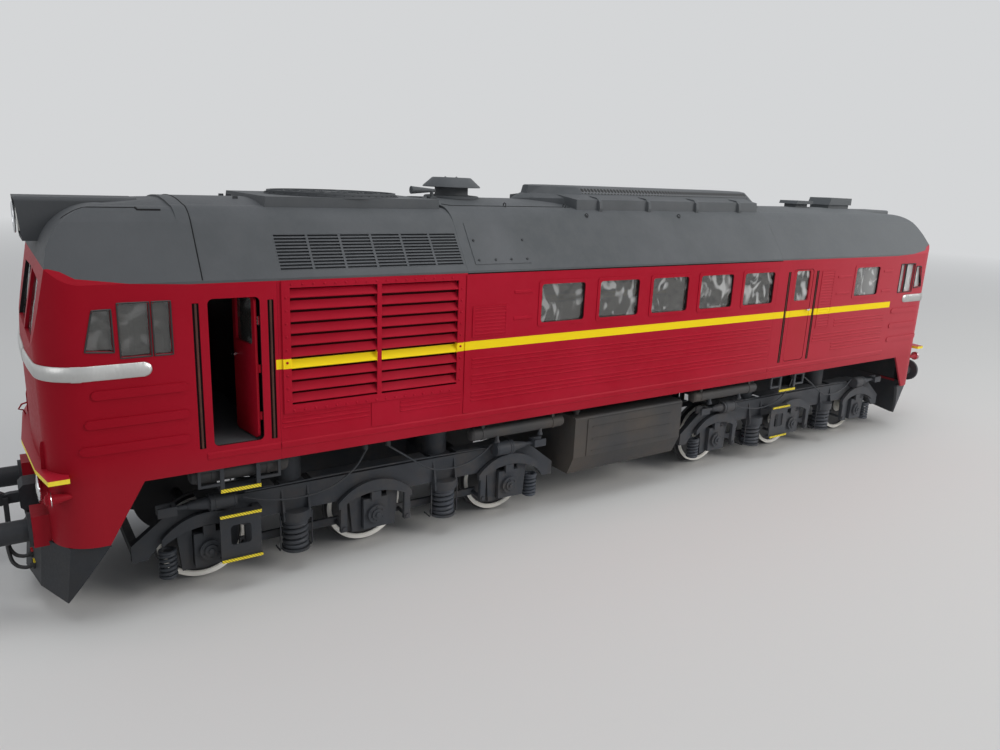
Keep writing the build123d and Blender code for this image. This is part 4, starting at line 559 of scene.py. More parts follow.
def mirrored(shapes, *axes):
    # The shapes and their images with these axes reversed: one is a mirror, two are half a turn
    result = list(shapes)
    for points, faces in shapes:
        flipped = [tuple(-v if i in axes else v for i, v in enumerate(point)) for point in points]
        result.append((flipped, [tuple(reversed(face)) for face in faces]))
    return result


def addObject(name, data):
    item = bpy.data.objects.new(name, data)
    bpy.context.scene.collection.objects.link(item)
    return item


def merged(shapes):
    points = []
    faces = []
    for shapePoints, shapeFaces in shapes:
        start = len(points)
        points += shapePoints
        faces += [tuple(start + i for i in face) for face in shapeFaces]
    return points, faces


def makePiece(name, shapes, material, body, smooth=True, sharpAngle=35):
    points, faces = merged(shapes)
    mesh = bpy.data.meshes.new(name)
    mesh.from_pydata([tuple(v * mm for v in point) for point in points], [], faces)
    work = bmesh.new()
    work.from_mesh(mesh)
    bmesh.ops.recalc_face_normals(work, faces=work.faces)
    work.to_mesh(mesh)
    work.free()
    mesh.materials.append(material)
    if smooth:
        mesh.polygons.foreach_set("use_smooth", [True] * len(mesh.polygons))
        mesh.set_sharp_from_angle(angle=math.radians(sharpAngle))
    piece = addObject(name, mesh)
    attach(piece, body)
    return piece


@functools.cache
def surfaceOf(names):
    meshes = [nodes[name].data for name in names]
    shapes = [([v.co / mm for v in mesh.vertices], [p.vertices for p in mesh.polygons]) for mesh in meshes]
    return BVHTree.FromPolygons(*merged(shapes))


def landing(names, origin, direction):
    # Where a line from origin meets the outside of these nodes, with the outward normal
    direction = Vector(direction).normalized()
    spot, normal = surfaceOf(names).ray_cast(Vector(origin), direction)[:2]
    if spot is None:
        raise ValueError(f"no surface of {names} from {origin}")
    if normal.dot(direction) > 0:
        normal = -normal
    return spot, normal


lineStart = {"side": 90, "above": 260, "front": 400, "around": 150}  # where those lines start


def fromSide(names, x, z):
    return landing(names, (x, -lineStart["side"], z), (0, 1, 0))


def fromAbove(names, x, y):
    return landing(names, (x, y, lineStart["above"]), (0, 0, -1))


def fromAround(names, heart, away):
    return landing(names, heart + away * lineStart["around"], -away)


def divided(corners, step, least=1):
    # Points along the lines from corner to corner, all but the last corner
    result = []
    for start, end in zip(corners, corners[1:]):
        count = max(least, round(math.dist(start, end) / step))
        result += [tuple(a + (b - a) * i / count for a, b in zip(start, end)) for i in range(count)]
    return result


# Rivets round the louvre plates
rivetSettings = {
    "columns": (-245.5, -145.0),
    "columnHeights": (103.0, 159.0, 6.6),  # first, last and pitch
    "rowHeights": (97.6, 162.2),
    "rowPitch": 5.7,
    "rowInset": (3, 2),
    "size": (0.7, 0.45),
}
plateNodes = ("side_louvres", "side_wall_left")
rivets = []
heights = np.arange(*rivetSettings["columnHeights"])
spots = [(x, z) for x in rivetSettings["columns"] for z in heights]
first, last = rivetSettings["columns"]
before, after = rivetSettings["rowInset"]
rowPlaces = np.arange(first + before, last - after, rivetSettings["rowPitch"])
spots += [(x, z) for z in rivetSettings["rowHeights"] for x in rowPlaces]
for x, z in spots:
    spot, normal = fromSide(plateNodes, x, z)
    rivets.append(domeShape(spot, (0, -1, 0), *rivetSettings["size"]))
makePiece("louvreRivets", mirrored(rivets, 1), redPaint, "body")

# Access panels and bolts on the engine roof
panelSettings = {
    "x": (-134.7, -96.0),
    "z": (168.5, 190.5),
    "thickness": 0.35,
    "sunk": 0.15,
    "bolts": [*((x, 170.6) for x in (-131.8, -120.5, -109.6, -98.3)), (-131.8, 181.0), (-97.6, 181.0)],
    "bolt": (0.75, 0.5),
    "steps": 11,
}
engineRoof = ("roof_engine",)
# A thin sheet on the slope, its sections dropped onto the surface
sections = []
for x in np.linspace(*panelSettings["x"], panelSettings["steps"]):
    drops = [fromSide(engineRoof, x, z) for z in np.linspace(*panelSettings["z"], panelSettings["steps"])]
    under = [spot - normal * panelSettings["sunk"] for spot, normal in drops]
    over = [spot + normal * panelSettings["thickness"] for spot, normal in drops]
    sections.append(under + over[::-1])
panel = loftShape(sections)
makePiece("roofAccessPanels", mirrored([panel], 1), roofPaint, "body")
bolts = []
for x, z in panelSettings["bolts"]:
    spot, normal = fromSide(engineRoof, x, z)
    spot += normal * panelSettings["thickness"]
    bolts.append(boltShape(spot, normal, *panelSettings["bolt"]))
hookSettings = {"places": (-41, 42), "z": 194.6, "lift": 0.6, "ring": (1.2, 0.35, 14, 6), "foot": (1, 0.5)}
for x in hookSettings["places"]:
    spot, normal = fromSide(engineRoof, x, hookSettings["z"])
    bolts.append(ringShape(spot + normal * hookSettings["lift"], (1, 0.3, 0), *hookSettings["ring"]))
    bolts.append(domeShape(spot, normal, *hookSettings["foot"]))
eyeSettings = {"places": [(-97.3, -34.0), (-51.1, -34.0)], "lift": 1.0, "ring": (1.3, 0.35, 14, 6)}
for x, y in eyeSettings["places"]:
    spot, normal = fromAbove(engineRoof, x, y)
    bolts.append(ringShape(spot + normal * eyeSettings["lift"], (1, 0, 0), *eyeSettings["ring"]))
darkRoof = paint("darkRoof", {**roofSettings, "colour": (0.04, 0.042, 0.045), "worn": (0.05, 0.052, 0.055)})
makePiece("roofBoltsAndEyes", mirrored(bolts, 1), darkRoof, "body")

# Long housing on the engine roof: a pointed tongue, side boxes and a crest, lofted along x
crest = (25.0, 207.3, 20.0, 212.0, 14.0, 212.7)
housingTable = [
    # x, edge half, edge z, foot half, foot z, shoulder half, shoulder z, crown half, crown z, base z
    (-70.0, 0.8, 203.2, 0.6, 203.3, 0.4, 203.35, 0.2, 203.4, 201.5),
    (-65.0, 5.4, 203.9, 2.0, 205.6, 1.5, 205.7, 1.0, 205.8, 201.5),
    (-60.0, 10.2, 204.3, 3.6, 207.1, 2.8, 207.2, 1.5, 207.3, 201.0),
    (-58.2, 12.0, 204.4, 4.6, 207.2, 3.4, 211.9, 1.6, 212.5, 201.0),
    (-50.0, 20.0, 204.6, 11.0, 207.3, 7.6, 212.0, 4.0, 212.7, 200.5),
    (-44.6, 25.6, 204.9, 14.8, 207.3, 11.0, 212.0, 6.6, 212.7, 200.0),
    (-44.5, 38.4, 204.6, 14.9, 207.3, 11.1, 212.0, 6.7, 212.7, 194.5),
    (-30.0, 38.4, 204.8, *crest, 194.5),
    (131.6, 38.4, 204.8, *crest, 194.5),
    (131.7, 25.4, 204.0, *crest, 199.0),
    (138.0, 25.4, 204.0, *crest, 199.0),
    (163.0, 15.0, 201.4, 14.5, 201.6, 12.0, 202.2, 8.0, 202.6, 198.5),
]
housingSettings = {
    "baseOut": 0.6,
    "straps": (-25.6, 18.0, 64.9, 110.4),
    "strapHalf": 1.3,
    "strapOutline": [
        (29.0, 206.9), (37.0, 206.2), (40.2, 203.6), (41.0, 199.5),
        (40.0, 195.2), (37.0, 195.2), (37.0, 203.8),
    ],
    "stripX": (-29.0, 137.2),
    "stripEnds": (0.14, 0.9),
    "stripOut": 0.2,
    "hole": 1.2,
    "pitch": 2.9,
    "holeColour": (0.004, 0.004, 0.005),
    "stripColour": (0.11, 0.115, 0.12),
    "stripRoughness": 0.6,
}


def housingRing(row):
    x, edge, edgeZ, foot, footZ, shoulder, shoulderZ, crown, crownZ, baseZ = row
    base = edge + housingSettings["baseOut"]
    side = [(base, baseZ), (edge, edgeZ), (foot, footZ), (shoulder, shoulderZ), (crown, crownZ)]
    return [(x, -y, z) for y, z in side] + [(x, y, z) for y, z in reversed(side)]


housing = [loftShape([housingRing(row) for row in housingTable])]
outline = housingSettings["strapOutline"]
half = housingSettings["strapHalf"]
for x in housingSettings["straps"]:
    for side in (-1, 1):
        housing.append(loftShape([[(x + reach, side * y, z) for y, z in outline] for reach in (-half, half)]))
housingPiece = makePiece("engineHousing", housing, roofPaint, "body", smooth=False)
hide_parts("roof_housing")
foot, footZ, shoulder, shoulderZ = crest[:4]
slope = (Vector((0, -foot, footZ)), Vector((0, -shoulder, shoulderZ)))
low, high = (slope[0].lerp(slope[1], share) for share in housingSettings["stripEnds"])
out = Vector((0, -(shoulderZ - footZ), foot - shoulder)).normalized() * housingSettings["stripOut"]
section = [low - out, high - out, high + out, low + out]
# The strips' holes, in staggered rows
perforated, tree, shader = newMaterial("perforated")
coordinate, axes = places(tree)
pitch = housingSettings["pitch"] * mm
row = maths(tree, "DIVIDE", axes[2], pitch)
shift = maths(tree, "MULTIPLY", maths(tree, "FLOOR", row), 0.5)
column = maths(tree, "ADD", maths(tree, "DIVIDE", axes[0], pitch), shift)
squares = []
for value in (column, row):
    reach = maths(tree, "SUBTRACT", maths(tree, "FRACT", value), 0.5)
    squares.append(maths(tree, "MULTIPLY", reach, reach))
edge = (housingSettings["hole"] / housingSettings["pitch"]) ** 2
hole = maths(tree, "LESS_THAN", maths(tree, "ADD", *squares), edge)
colour = mixColour(tree, hole, housingSettings["stripColour"], housingSettings["holeColour"])
feed(tree, shader.inputs["Base Color"], colour)
shader.inputs["Roughness"].default_value = housingSettings["stripRoughness"]
strip = loftShape([[(x, spot.y, spot.z) for spot in section] for x in housingSettings["stripX"]])
makePiece("housingMeshStrips", mirrored([strip], 1), perforated, "body", smooth=False)

# Round silencer hood on its drum
silencerSettings = {
    "place": (-115.4, 0, 0),
    "profile": [
        (17.4, 202.4), (17.4, 203.7), (16.6, 204.2), (10.9, 204.6), (10.5, 205.2), (10.5, 209.4),
        (17.9, 209.3), (18.2, 209.6), (18.0, 210.0), (12.4, 214.9), (11.8, 215.2), (0.4, 215.3),
    ],
    "eyes": [(-119.9, 0, 215.2), (-111.9, 0, 215.2)],
    "eyeSize": (0.6, 0.6),
}
hood = [turnedShape(silencerSettings["place"], (0, 0, 1), silencerSettings["profile"], 48)]
for place in silencerSettings["eyes"]:
    hood.append(domeShape(place, (0, 0, 1), *silencerSettings["eyeSize"]))
hoodPiece = makePiece("silencerHood", hood, roofPaint, "body")
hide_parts("silencer")

# Fine dark lines where the roof's sheets meet
lineSettings = {
    "wire": 0.3,
    "proud": 0.02,
    "seamX": -283.8,
    "seamHeart": 150,
    "seamAngles": (13.5, 166.5, 61),
    "edgeLine": [(-139.0, -29.5), *((x, -33.0) for x in (-134.0, -110.0, -85.0, -60.0, -45.5))],
    "cabLine": [(x, -38.0) for x in (-336.8, -332.0, -326.0, -319.0, -313.0, -306.0)],
    "slot": [(-306.0, -38.0), (-305.5, -40.5), (-295.5, -40.5)],
    "slotWire": 0.6,
    "step": 2.0,
}
fineLines = []
heart = Vector((lineSettings["seamX"], 0, lineSettings["seamHeart"]))
seam = []
for angle in np.radians(np.linspace(*lineSettings["seamAngles"])):
    away = Vector((0, math.cos(angle), math.sin(angle)))
    spot, normal = fromAround(("roof_radiator",), heart, away)
    seam.append(spot + normal * lineSettings["proud"])
fineLines.append(tubeShape(seam, lineSettings["wire"], 6))


def droppedLine(names, corners, wire=lineSettings["wire"]):
    # A line dropped from above onto the roof
    path = [*divided(corners, lineSettings["step"]), corners[-1]]
    drops = [fromAbove(names, x, y) for x, y in path]
    return tubeShape([spot + normal * lineSettings["proud"] for spot, normal in drops], wire, 6)


fineLines.append(droppedLine(engineRoof, lineSettings["edgeLine"]))
fineLines.append(droppedLine(("cab_roof_a",), lineSettings["cabLine"]))
fineLines.append(droppedLine(("cab_roof_a",), lineSettings["slot"], lineSettings["slotWire"]))
blackSettings = {"colour": (0.012, 0.012, 0.013), "worn": (0.02, 0.02, 0.021), "roughness": 0.7}
linePaint = paint("linePaint", {**blackSettings, "specular": 0.1})
makePiece("roofLines", mirrored(fineLines[1:], 1) + fineLines[:1], linePaint, "body")

# Bolts round the fan's flange and the small brackets ahead of it
fanSettings = {
    "centre": (-194.8, 0, 203.6),
    "circle": 37.0,
    "count": 48,
    "bolt": (0.5, 0.35),
    "brackets": [(-253.5, 14.7), (-249.0, 16.5), (-253.8, -14.5)],
    "bracketCorners": ((-1.2, -0.8, -0.4), (1.2, 0.8, 1.3)),
}
fanBolts = boltCircle(fanSettings["centre"], (1, 0, 0), (0, 1, 0), fanSettings)
for x, y in fanSettings["brackets"]:
    spot, normal = fromAbove(("roof_radiator",), x, y)
    fanBolts.append(boxShape(*fanSettings["bracketCorners"], spot))
makePiece("fanBoltsAndBrackets", fanBolts, darkRoof, "body")
print("rivets and roof details made")

# Lamps: rings and lenses
lampSettings = {
    "z": 69.4,
    # x, distance from the middle, ring radius, ring wire, ring steps, lens start, lens sides
    "head": (-357.0, 45.0, 5.9, 0.55, 32, 0.3, 24),
    "headLens": [(5.4, 0.0), (5.4, 0.3), (4.2, 0.9), (2.2, 1.3), (0.3, 1.4)],
    "tail": (-353.4, 61.6, 3.4, 0.4, 24, 0.0, 20),
    "tailLens": [(3.1, -0.4), (3.1, 0.5), (2.3, 1.3), (1.1, 1.7), (0.2, 1.8)],
    "topPlace": (-353.2, 0, 189.7),
    "topRing": (6.9, 0.5),
}
rings = []
lenses = {"head": [], "tail": []}
for kind in ("head", "tail"):
    x, reach, radius, wire, steps, start, sides = lampSettings[kind]
    for y in (-reach, reach):
        rings.append(ringShape((x, y, lampSettings["z"]), (1, 0, 0), radius, wire, steps))
        profile = lampSettings[kind + "Lens"]
        lenses[kind].append(turnedShape((x + start, y, lampSettings["z"]), (-1, 0, 0), profile, sides))
rings.append(ringShape(lampSettings["topPlace"], (1, 0, 0), *lampSettings["topRing"]))
makePiece("lampRings", mirrored(rings, 0), chrome, "body")
lensSettings = {
    "colour": (0.8, 0.8, 0.76),
    "crumpleScale": 300,
    "crumple": 0.1,
    "crumpleDepth": 0.002,
    "refraction": 1.6,
    "roughness": 0.08,
    "alpha": 0.75,
    "specular": 0.8,
}
lensGlass = clearMaterial("lensGlass", lensSettings)
makePiece("lampLenses", mirrored(lenses["head"], 0), lensGlass, "body")
tailSettings = {**lensSettings, "colour": (0.85, 0.012, 0.016), "alpha": 1.0, "specular": 0.4}
tailGlass = clearMaterial("tailGlass", tailSettings)
makePiece("tailLenses", mirrored(lenses["tail"], 0), tailGlass, "body")
dress(paint("lampHousing", {**redSettings, "zones": [({"z": (100, None)}, (0.7, 0.7, 0.66))]}), "headlamps")

# Foil bands round the noses, with rounded ends and lapped joints
bandSettings = {
    "centreX": -300.0,
    "angles": (7.0, 173.0, 1.5),  # first, limit and step
    "endAngles": [0, 0.12, 0.3, 0.6, 1.0, 1.5, 2.1],
    "endReach": 66.0,
    "endTip": 0.05,
    "endLeast": 0.08,
    "endProud": 0.4,
    "z": 126.4,
    "half": 3.4,
    "profile": [(-1.0, -0.3), (-1.0, 0.35), (-0.82, 0.85), (0, 1.2), (0.82, 0.85), (1.0, 0.35), (1.0, -0.3)],
    # the laps' first and last angles, and their sections
    "joints": [(29.5, 32.5, 4), (74.0, 76.5, 4), (147.5, 150.5, 4)],
    "jointProud": 0.2,
    "jointWide": 0.15,
}
cabNodes = ("cab_shell_a",)


def bandRing(angle, half, proud, lift=0.0):
    # One section of the band, where a line from its middle meets the nose
    away = Vector((-math.sin(angle), -math.cos(angle), 0))
    ring = []
    for share, out in bandSettings["profile"]:
        heart = Vector((bandSettings["centreX"], 0, bandSettings["z"] + share * half))
        spot, normal = fromAround(cabNodes, heart, away)
        ring.append(spot + normal * (out * proud + (lift if out > 0 else 0)))
    return ring


rings = []
angles = np.radians(np.arange(*bandSettings["angles"]))
fine = np.radians(bandSettings["endAngles"])
angles = np.concatenate([angles[0] + fine, angles[2:-2], angles[-1] - fine[::-1]])
half = bandSettings["half"]
for angle in angles:
    ends = min(angle - angles[0], angles[-1] - angle)
    away = bandSettings["endReach"] * ends + bandSettings["endTip"]
    taper = math.sqrt(max(0.0, 1 - (1 - min(away / half, 1)) ** 2))
    proud = bandSettings["endProud"] + (1 - bandSettings["endProud"]) * taper
    rings.append(bandRing(angle, half * max(taper, bandSettings["endLeast"]), proud))
band = [loftShape(rings)]
for joint in bandSettings["joints"]:
    size = (half + bandSettings["jointWide"], 1.0, bandSettings["jointProud"])
    band.append(loftShape([bandRing(angle, *size) for angle in np.radians(np.linspace(*joint))]))
bandPiece = makePiece("noseFoilBands", mirrored(band, 0), foil, "body", sharpAngle=50)
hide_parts("nose_bands")

# Fins and a wire handle on each nose, over the footboard
noseSettings = {
    "finY": 49.0,
    "finHalf": 0.45,
    "finOutline": [(1.5, 80.0), (-1.7, 80.0), (-1.5, 90.5), (-0.9, 93.0), (1.5, 93.6)],
    "finRoot": 87,
    "handleY": 45,
    "handle": [(-352, 86.3), (-355.2, 86.3), (-357.6, 85.6), (-359.3, 83.0), (-357, 82.2), (-356.2, 79.8)],
    "handleWire": 0.45,
}
noseParts = []
outline = noseSettings["finOutline"]
half = noseSettings["finHalf"]
for y in (-noseSettings["finY"], noseSettings["finY"]):
    spot, normal = landing(cabNodes, (-lineStart["front"], y, noseSettings["finRoot"]), (1, 0, 0))
    sides = [[(spot.x + reach, y + edge, z) for reach, z in outline] for edge in (-half, half)]
    noseParts.append(loftShape(sides))
handle = [(x, noseSettings["handleY"], z) for x, z in noseSettings["handle"]]
noseParts.append(tubeShape(handle, noseSettings["handleWire"]))
makePiece("noseFinsAndHandles", mirrored(noseParts, 0, 1), redPaint, "body")

# Window gaskets on the cabs
gasketSettings = {
    "quarter": [(-330.4, 153.9), (-323.6, 154.1), (-323.5, 135.5), (-334.4, 136.5)],
    "sides": [(-320.3, -308.0), (-306.1, -298.9)],
    "heights": (132.6, 156.6),
    "grow": 0.35,
    "wire": 0.42,
    "step": 1.5,
    "proud": 0.08,
}


def gasket(corners):
    # A dark seal laid round a side window, a little outside its corners
    middle = [sum(values) / len(corners) for values in zip(*corners)]
    grow = gasketSettings["grow"]
    grown = [[v + math.copysign(grow, v - m) for v, m in zip(corner, middle)] for corner in corners]
    path = []
    for x, z in divided([*grown, grown[0]], gasketSettings["step"], 2):
        spot, normal = fromSide(cabNodes, x, z)
        path.append(spot + normal * gasketSettings["proud"])
    return tubeShape(path, gasketSettings["wire"], 6, closed=True)


gaskets = [gasket(gasketSettings["quarter"])]
low, high = gasketSettings["heights"]
for left, right in gasketSettings["sides"]:
    gaskets.append(gasket([(left, low), (right, low), (right, high), (left, high)]))
rubber = paint("rubber", {**blackSettings, "roughness": 0.5})
makePiece("cabWindowSeals", mirrored(mirrored(gaskets, 1), 0), rubber, "body")

# Yellow edges on the footboards and steps
edgeSettings = {
    "places": (-270.2, 163.9),
    # half width, distance from the middle plane, low and high
    "body": (10.0, 64.0, [(58.8, 60.5)]),
    "bogie": (10.5, 61.3, [(18.9, 20.3), (43.6, 45.0)]),
    "thickness": 0.5,
    "sunk": 0.1,
}
yellowSettings = {
    "axes": (0, 2),
    "patchScale": 300,
    "colour": (0.86, 0.66, 0.015),
    "worn": (0.92, 0.74, 0.03),
    "marks": (0.28, 0.22, 0.02),
    "markPitch": 1.5,
    "markShare": 0.3,
    "roughness": 0.5,
}
yellowPaint = slantedPaint("yellowStripes", yellowSettings)


def stepEdges(kind, xs):
    half, y, heights = edgeSettings[kind]
    front = -y - edgeSettings["thickness"]
    back = -y + edgeSettings["sunk"]
    edges = [boxShape((x - half, front, low), (x + half, back, high)) for x in xs for low, high in heights]
    return mirrored(edges, 1)


bodyEdges = stepEdges("body", edgeSettings["places"])
makePiece("stepEdges", bodyEdges, yellowPaint, "body", smooth=False)
for letter, x in zip("ab", edgeSettings["places"]):
    edges = stepEdges("bogie", [x])
    makePiece(f"bogieStepEdges_{letter}", edges, yellowPaint, f"bogie_{letter}", smooth=False)

# The footboards are red, and yellow on their upright edges
boardSettings = {"steepest": 0.5, "roughness": 0.45}
boardPaint, tree, shader = newMaterial("boardPaint")
normal = tree.nodes.new("ShaderNodeNewGeometry").outputs["Normal"]
steepness = maths(tree, "ABSOLUTE", split(tree, normal)[2])
upright = maths(tree, "LESS_THAN", steepness, boardSettings["steepest"])
colour = mixColour(tree, upright, redSettings["colour"], yellowSettings["worn"])
feed(tree, shader.inputs["Base Color"], colour)
shader.inputs["Roughness"].default_value = boardSettings["roughness"]
dress(boardPaint, "footboards")
print("lamps, seals and yellow edges made")

# Brake pipes and cables on the bogies, with x from the bogie's centre
pipeSettings = {
    "wire": 0.55,
    "thinWire": 0.44,
    "cables": [
        [
            (-76, -53.2, 50.0), (-64, -54.5, 46.5), (-46, -55.5, 44.6),
            (-28, -56.0, 47.5), (-14, -55.0, 55.5), (-6, -53.0, 64.5),
        ],
        [
            (8, -53.0, 64.5), (18, -55.0, 57.5), (34, -56.0, 47.0),
            (52, -55.5, 44.5), (68, -54.5, 48.0), (79, -53.2, 54.0),
        ],
    ],
    "rail": [(-74, -51.0, 51.6), (-20, -51.2, 52.4), (20, -51.2, 52.4), (76, -51.0, 51.4)],
    "hangers": (-55.6, -37.8, 37.8, 55.6),
    "hangerPath": [(-51.0, 34.0), (-51.0, 14.4), (-49.0, 12.4), (-42.0, 12.4)],
}
pipes = [tubeShape(smoothPath(path), pipeSettings["wire"]) for path in pipeSettings["cables"]]
pipes.append(tubeShape(smoothPath(pipeSettings["rail"], 3), pipeSettings["thinWire"]))
for x in pipeSettings["hangers"]:
    path = [(x, y, z) for y, z in pipeSettings["hangerPath"]]
    pipes.append(tubeShape(path, pipeSettings["thinWire"]))

# Bolts and a hub on each axlebox cover
coverSettings = {
    "axles": (-93.3, 0, 93.3),
    "y": -54.7,
    "z": 24.55,
    "circle": 4.2,
    "count": 6,
    "bolt": (0.55, 0.5),
    "hubY": -55.8,
    "hub": (1.5, 1.0),
}
coverBolts = []
for x in coverSettings["axles"]:
    coverBolts += boltCircle((x, coverSettings["y"], coverSettings["z"]), (1, 0, 0), (0, 0, 1), coverSettings)
    hubPlace = (x, coverSettings["hubY"], coverSettings["z"])
    coverBolts.append(boltShape(hubPlace, (0, -1, 0), *coverSettings["hub"]))


def bogiePiece(name, letter, shapes, material):
    moved = [([(x + bogies[letter], y, z) for x, y, z in points], faces) for points, faces in shapes]
    return makePiece(f"{name}_{letter}", mirrored(moved, 1), material, f"bogie_{letter}")


for letter in bogies:
    bogiePiece("bogiePipes", letter, pipes, gearPaint)
    bogiePiece("axleboxBolts", letter, coverBolts, gearPaint)
print("bogie pipes and bolts made")

# Coil springs, with flat end turns
coilSettings = {
    "steps": 22,
    "flatTurns": 0.8,
    "springs": [
        # x from the bogie's centre, y, low, high, outer radius, wire radius, turns
        (46.7, -48.98, 14.0, 30.8, 7.2, 1.3, 4.5),
        (113.3, -48.48, 11.8, 27.2, 4.6, 0.98, 5.5),
    ],
}


def coilShape(x, y, low, high, outer, wire, turns):
    path = []
    steps, flat = coilSettings["steps"], coilSettings["flatTurns"]
    reach = outer - wire
    for index in range(round((turns + 2 * flat) * steps) + 1):
        angle = 2 * math.pi * index / steps
        share = min(max((index / steps - flat) / turns, 0), 1)
        z = low + wire + (high - low - 2 * wire) * share
        path.append((x + reach * math.cos(angle), y + reach * math.sin(angle), z))
    return tubeShape(path, wire, 8)


coils = [coilShape(end * x, *size) for x, *size in coilSettings["springs"] for end in (-1, 1)]

# Flanges along the bogie frames, bands and bolts on the brake cylinders
flangeSettings = {"runs": [(-97, -57), (-36, 36), (57, 97)], "y": (-46.5, -37.6), "z": (50.3, 51.0)}
cylinderSettings = {
    "y": -54.7,
    "z": 51.0,
    "bands": (81.0, 90.5),
    "band": (4.4, 0.35, 28, 6),
    "boltX": 93.1,
    "circle": 3.5,
    "count": 8,
    "bolt": (0.45, 0.5),
}
fittings = []
for run in flangeSettings["runs"]:
    fittings.append(boxShape(*zip(run, flangeSettings["y"], flangeSettings["z"])))
y, z = cylinderSettings["y"], cylinderSettings["z"]
for end in (-1, 1):
    for x in cylinderSettings["bands"]:
        fittings.append(ringShape((end * x, y, z), (1, 0, 0), *cylinderSettings["band"]))
    boltPlace = (end * cylinderSettings["boltX"], y, z)
    fittings += boltCircle(boltPlace, (0, end, 0), (0, 0, 1), cylinderSettings)
for letter in bogies:
    piece = bogiePiece("springCoils", letter, coils, springPaint)
    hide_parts(f"springs_{letter}")
    bogiePiece("bogieFittings", letter, fittings, gearPaint)

# Brake hoses: stiff round bends from under the coupler to a cock on the plough
hoseSettings = {
    "radius": 0.95,
    "cock": [(1.5, 0.0), (1.5, 3.0), (1.9, 3.1), (1.9, 4.1), (1.3, 4.3), (1.3, 5.4)],
    "block": ((0.6, -0.5, 0.0), (2.2, 0.5, 3.2)),
    # x of the cock's foot and of its mouth, its y and z, and the bends from there to the top
    "hoses": [
        (-358.4, -363.4, -14.0, 23.4, [
            (-362.8, -14.0, 23.4), (-365.6, -14.0, 23.0), (-369.0, -12.9, 24.3), (-371.2, -11.36, 28.4),
            (-371.1, -8.28, 35.45), (-362.5, -5.2, 39.0), (-362.0, -5.2, 44.5),
        ]),
        (-358.2, -363.2, -18.0, 19.0, [
            (-362.6, -18.0, 19.0), (-365.4, -18.0, 18.6), (-369.0, -16.575, 19.9), (-371.2, -14.58, 24.0),
            (-371.1, -10.59, 33.25), (-362.5, -6.6, 39.0), (-362.0, -6.6, 44.5),
        ]),
    ],
}
hoses = []
for footX, mouthX, y, z, bends in hoseSettings["hoses"]:
    hoses.append(tubeShape(smoothPath(bends, 8), hoseSettings["radius"], 12))
    hoses.append(turnedShape((footX, y, z), (-1, 0, 0), hoseSettings["cock"], 14))
    hoses.append(boxShape(*hoseSettings["block"], (mouthX, y, z)))
hosePiece = makePiece("brakeHoses", mirrored(hoses, 0, 1), rubber, "body")
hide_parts("brake_hoses")

# Coloured taps on the brake hose cocks
tapSettings = {
    "worn": 0.8,
    "roughness": 0.45,
    "boxes": [((-1.0, -0.75, -0.6), (1.0, 0.75, 1.4)), ((-0.7, -2.2, 0.0), (0.7, 2.2, 0.9))],
    # name, colour, the tap's middle
    "taps": [
        ("redTaps", (0.5, 0.01, 0.012), (-361.5, -14.0, 25.4)),
        ("yellowTaps", (0.85, 0.66, 0.02), (-361.0, -18.0, 21.0)),
    ],
}
for name, colour, place in tapSettings["taps"]:
    worn = tuple(v * tapSettings["worn"] for v in colour)
    tapPaint = paint(name + "Paint", {"colour": colour, "worn": worn, "roughness": tapSettings["roughness"]})
    bar = [boxShape(low, high, place) for low, high in tapSettings["boxes"]]
    makePiece(name, mirrored(bar, 0, 1), tapPaint, "body", smooth=False)
print("springs, bogie fittings and taps made")

# Pipe stubs under the body beside the reservoirs
stubTable = [
    # places along x, y, z, direction, profile
    ((-112, -79, 79, 112), -58.5, 62.0, (-0.3, -0.5, -1), [(1.2, 0), (1.2, 3.4), (1.6, 3.4), (1.6, 5)]),
    ((184.6, 198.6, -197.6, -183.6), -53.0, 72.5, (0, 0, -1), [(1, -1), (1, 4), (1.5, 4), (1.5, 7.5)]),
]
stubs = []
for xs, y, z, direction, profile in stubTable:
    stubs += [turnedShape((x, y, z), direction, profile, 10) for x in xs]
makePiece("pipeStubs", mirrored(stubs, 1), gearPaint, "body")

# Floor, background and lights
stageSettings = {
    "floor": (0.72, 0.71, 0.69),
    "roughness": 0.65,
    "specular": 0.3,
    "seen": (0.66, 0.67, 0.68),
    "radius": 14.0,
    "fadeStart": 0.8,
    "fadeEnd": 2.8,
    "light": (0.82, 0.87, 0.95),
    "strength": 0.34,
}
reach = stageSettings["radius"]
floorMesh = bpy.data.meshes.new("studioFloor")
corners = [(-reach, -reach, 0), (reach, -reach, 0), (reach, reach, 0), (-reach, reach, 0)]
floorMesh.from_pydata(corners, [], [(0, 1, 2, 3)])
floorMaterial, tree, shader = newMaterial("studioFloorPaint")
feed(tree, shader.inputs["Base Color"], stageSettings["floor"])
shader.inputs["Roughness"].default_value = stageSettings["roughness"]
shader.inputs["Specular IOR Level"].default_value = stageSettings["specular"]
coordinate, axes = places(tree)
span = addNode(tree, "ShaderNodeVectorMath", coordinate)
span.operation = "LENGTH"
far = spread(tree, span.outputs["Value"], stageSettings["fadeStart"], stageSettings["fadeEnd"])
glow = addNode(tree, "ShaderNodeEmission", stageSettings["seen"])
blend = addNode(tree, "ShaderNodeMixShader", far, shader.outputs[0], glow.outputs[0])
tree.links.new(blend.outputs[0], tree.nodes["Material Output"].inputs["Surface"])
floorMesh.materials.append(floorMaterial)
studioFloor = addObject("studioFloor", floorMesh)

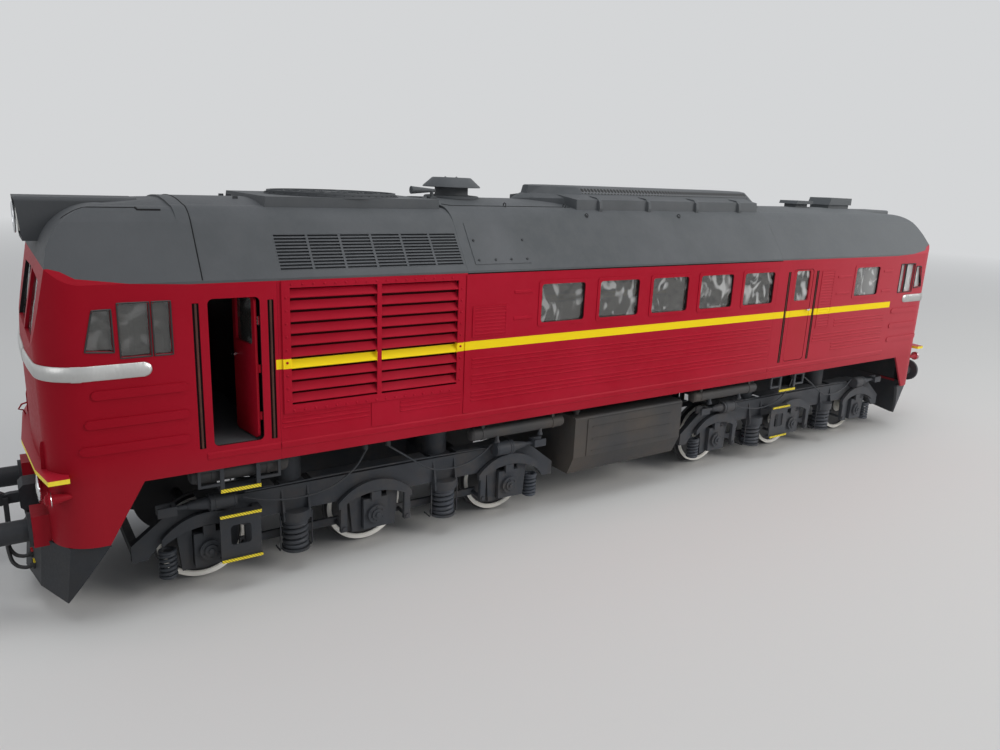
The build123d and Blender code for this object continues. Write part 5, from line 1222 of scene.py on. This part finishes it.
world = bpy.data.worlds.new("studio")
bpy.context.scene.world = world
world.use_nodes = True
tree = world.node_tree
background = tree.nodes["Background"]
background.inputs["Color"].default_value = (*stageSettings["light"], 1)
background.inputs["Strength"].default_value = stageSettings["strength"]
seen = addNode(tree, "ShaderNodeBackground", stageSettings["seen"])
rays = tree.nodes.new("ShaderNodeLightPath")
backdropRays = rays.outputs["Is Camera Ray"]
for kind in ("Is Glossy Ray", "Is Transmission Ray"):
    backdropRays = maths(tree, "MAXIMUM", backdropRays, rays.outputs[kind])
choice = addNode(tree, "ShaderNodeMixShader", backdropRays, background.outputs[0], seen.outputs[0])
tree.links.new(choice.outputs[0], tree.nodes["World Output"].inputs["Surface"])

lightTable = [
    # name, place, aimed at, power, width, height, colour
    ("windowLight", (1.3, -1.5, 1.1), (0.05, 0, 0.1), 21, 1.1, 0.9, (1.0, 0.98, 0.95)),
    ("topLight", (-0.1, -0.3, 1.9), (0, 0, 0.15), 13, 1.6, 1.0, (0.95, 0.98, 1.0)),
    ("noseLight", (-1.7, -0.5, 0.7), (-0.3, 0, 0.1), 3, 0.9, 0.9, (1.0, 1.0, 1.0)),
]
for name, place, target, power, width, height, colour in lightTable:
    data = bpy.data.lights.new(name, "AREA")
    data.shape = "RECTANGLE"
    data.size = width
    data.size_y = height
    data.energy = power
    data.color = colour
    lamp = addObject(name, data)
    lamp.location = place
    lamp.rotation_euler = (Vector(target) - Vector(place)).to_track_quat("-Z", "Y").to_euler()

# Camera
cameraSettings = {
    "place": (-0.36911, -0.4399, 0.21954),
    "turn": (75.4635, -2.3775, -33.3943),
    "lens": 28.1313,
    "sensor": 36,
    "nearest": 0.01,
}
cameraData = bpy.data.cameras.new("photoCamera")
cameraData.lens = cameraSettings["lens"]
cameraData.sensor_width = cameraSettings["sensor"]
cameraData.clip_start = cameraSettings["nearest"]
camera = addObject("photoCamera", cameraData)
camera.location = cameraSettings["place"]
camera.rotation_euler = [math.radians(angle) for angle in cameraSettings["turn"]]
bpy.context.scene.camera = camera
bpy.context.scene.view_settings.view_transform = "Standard"

print("stage, lights and camera set")
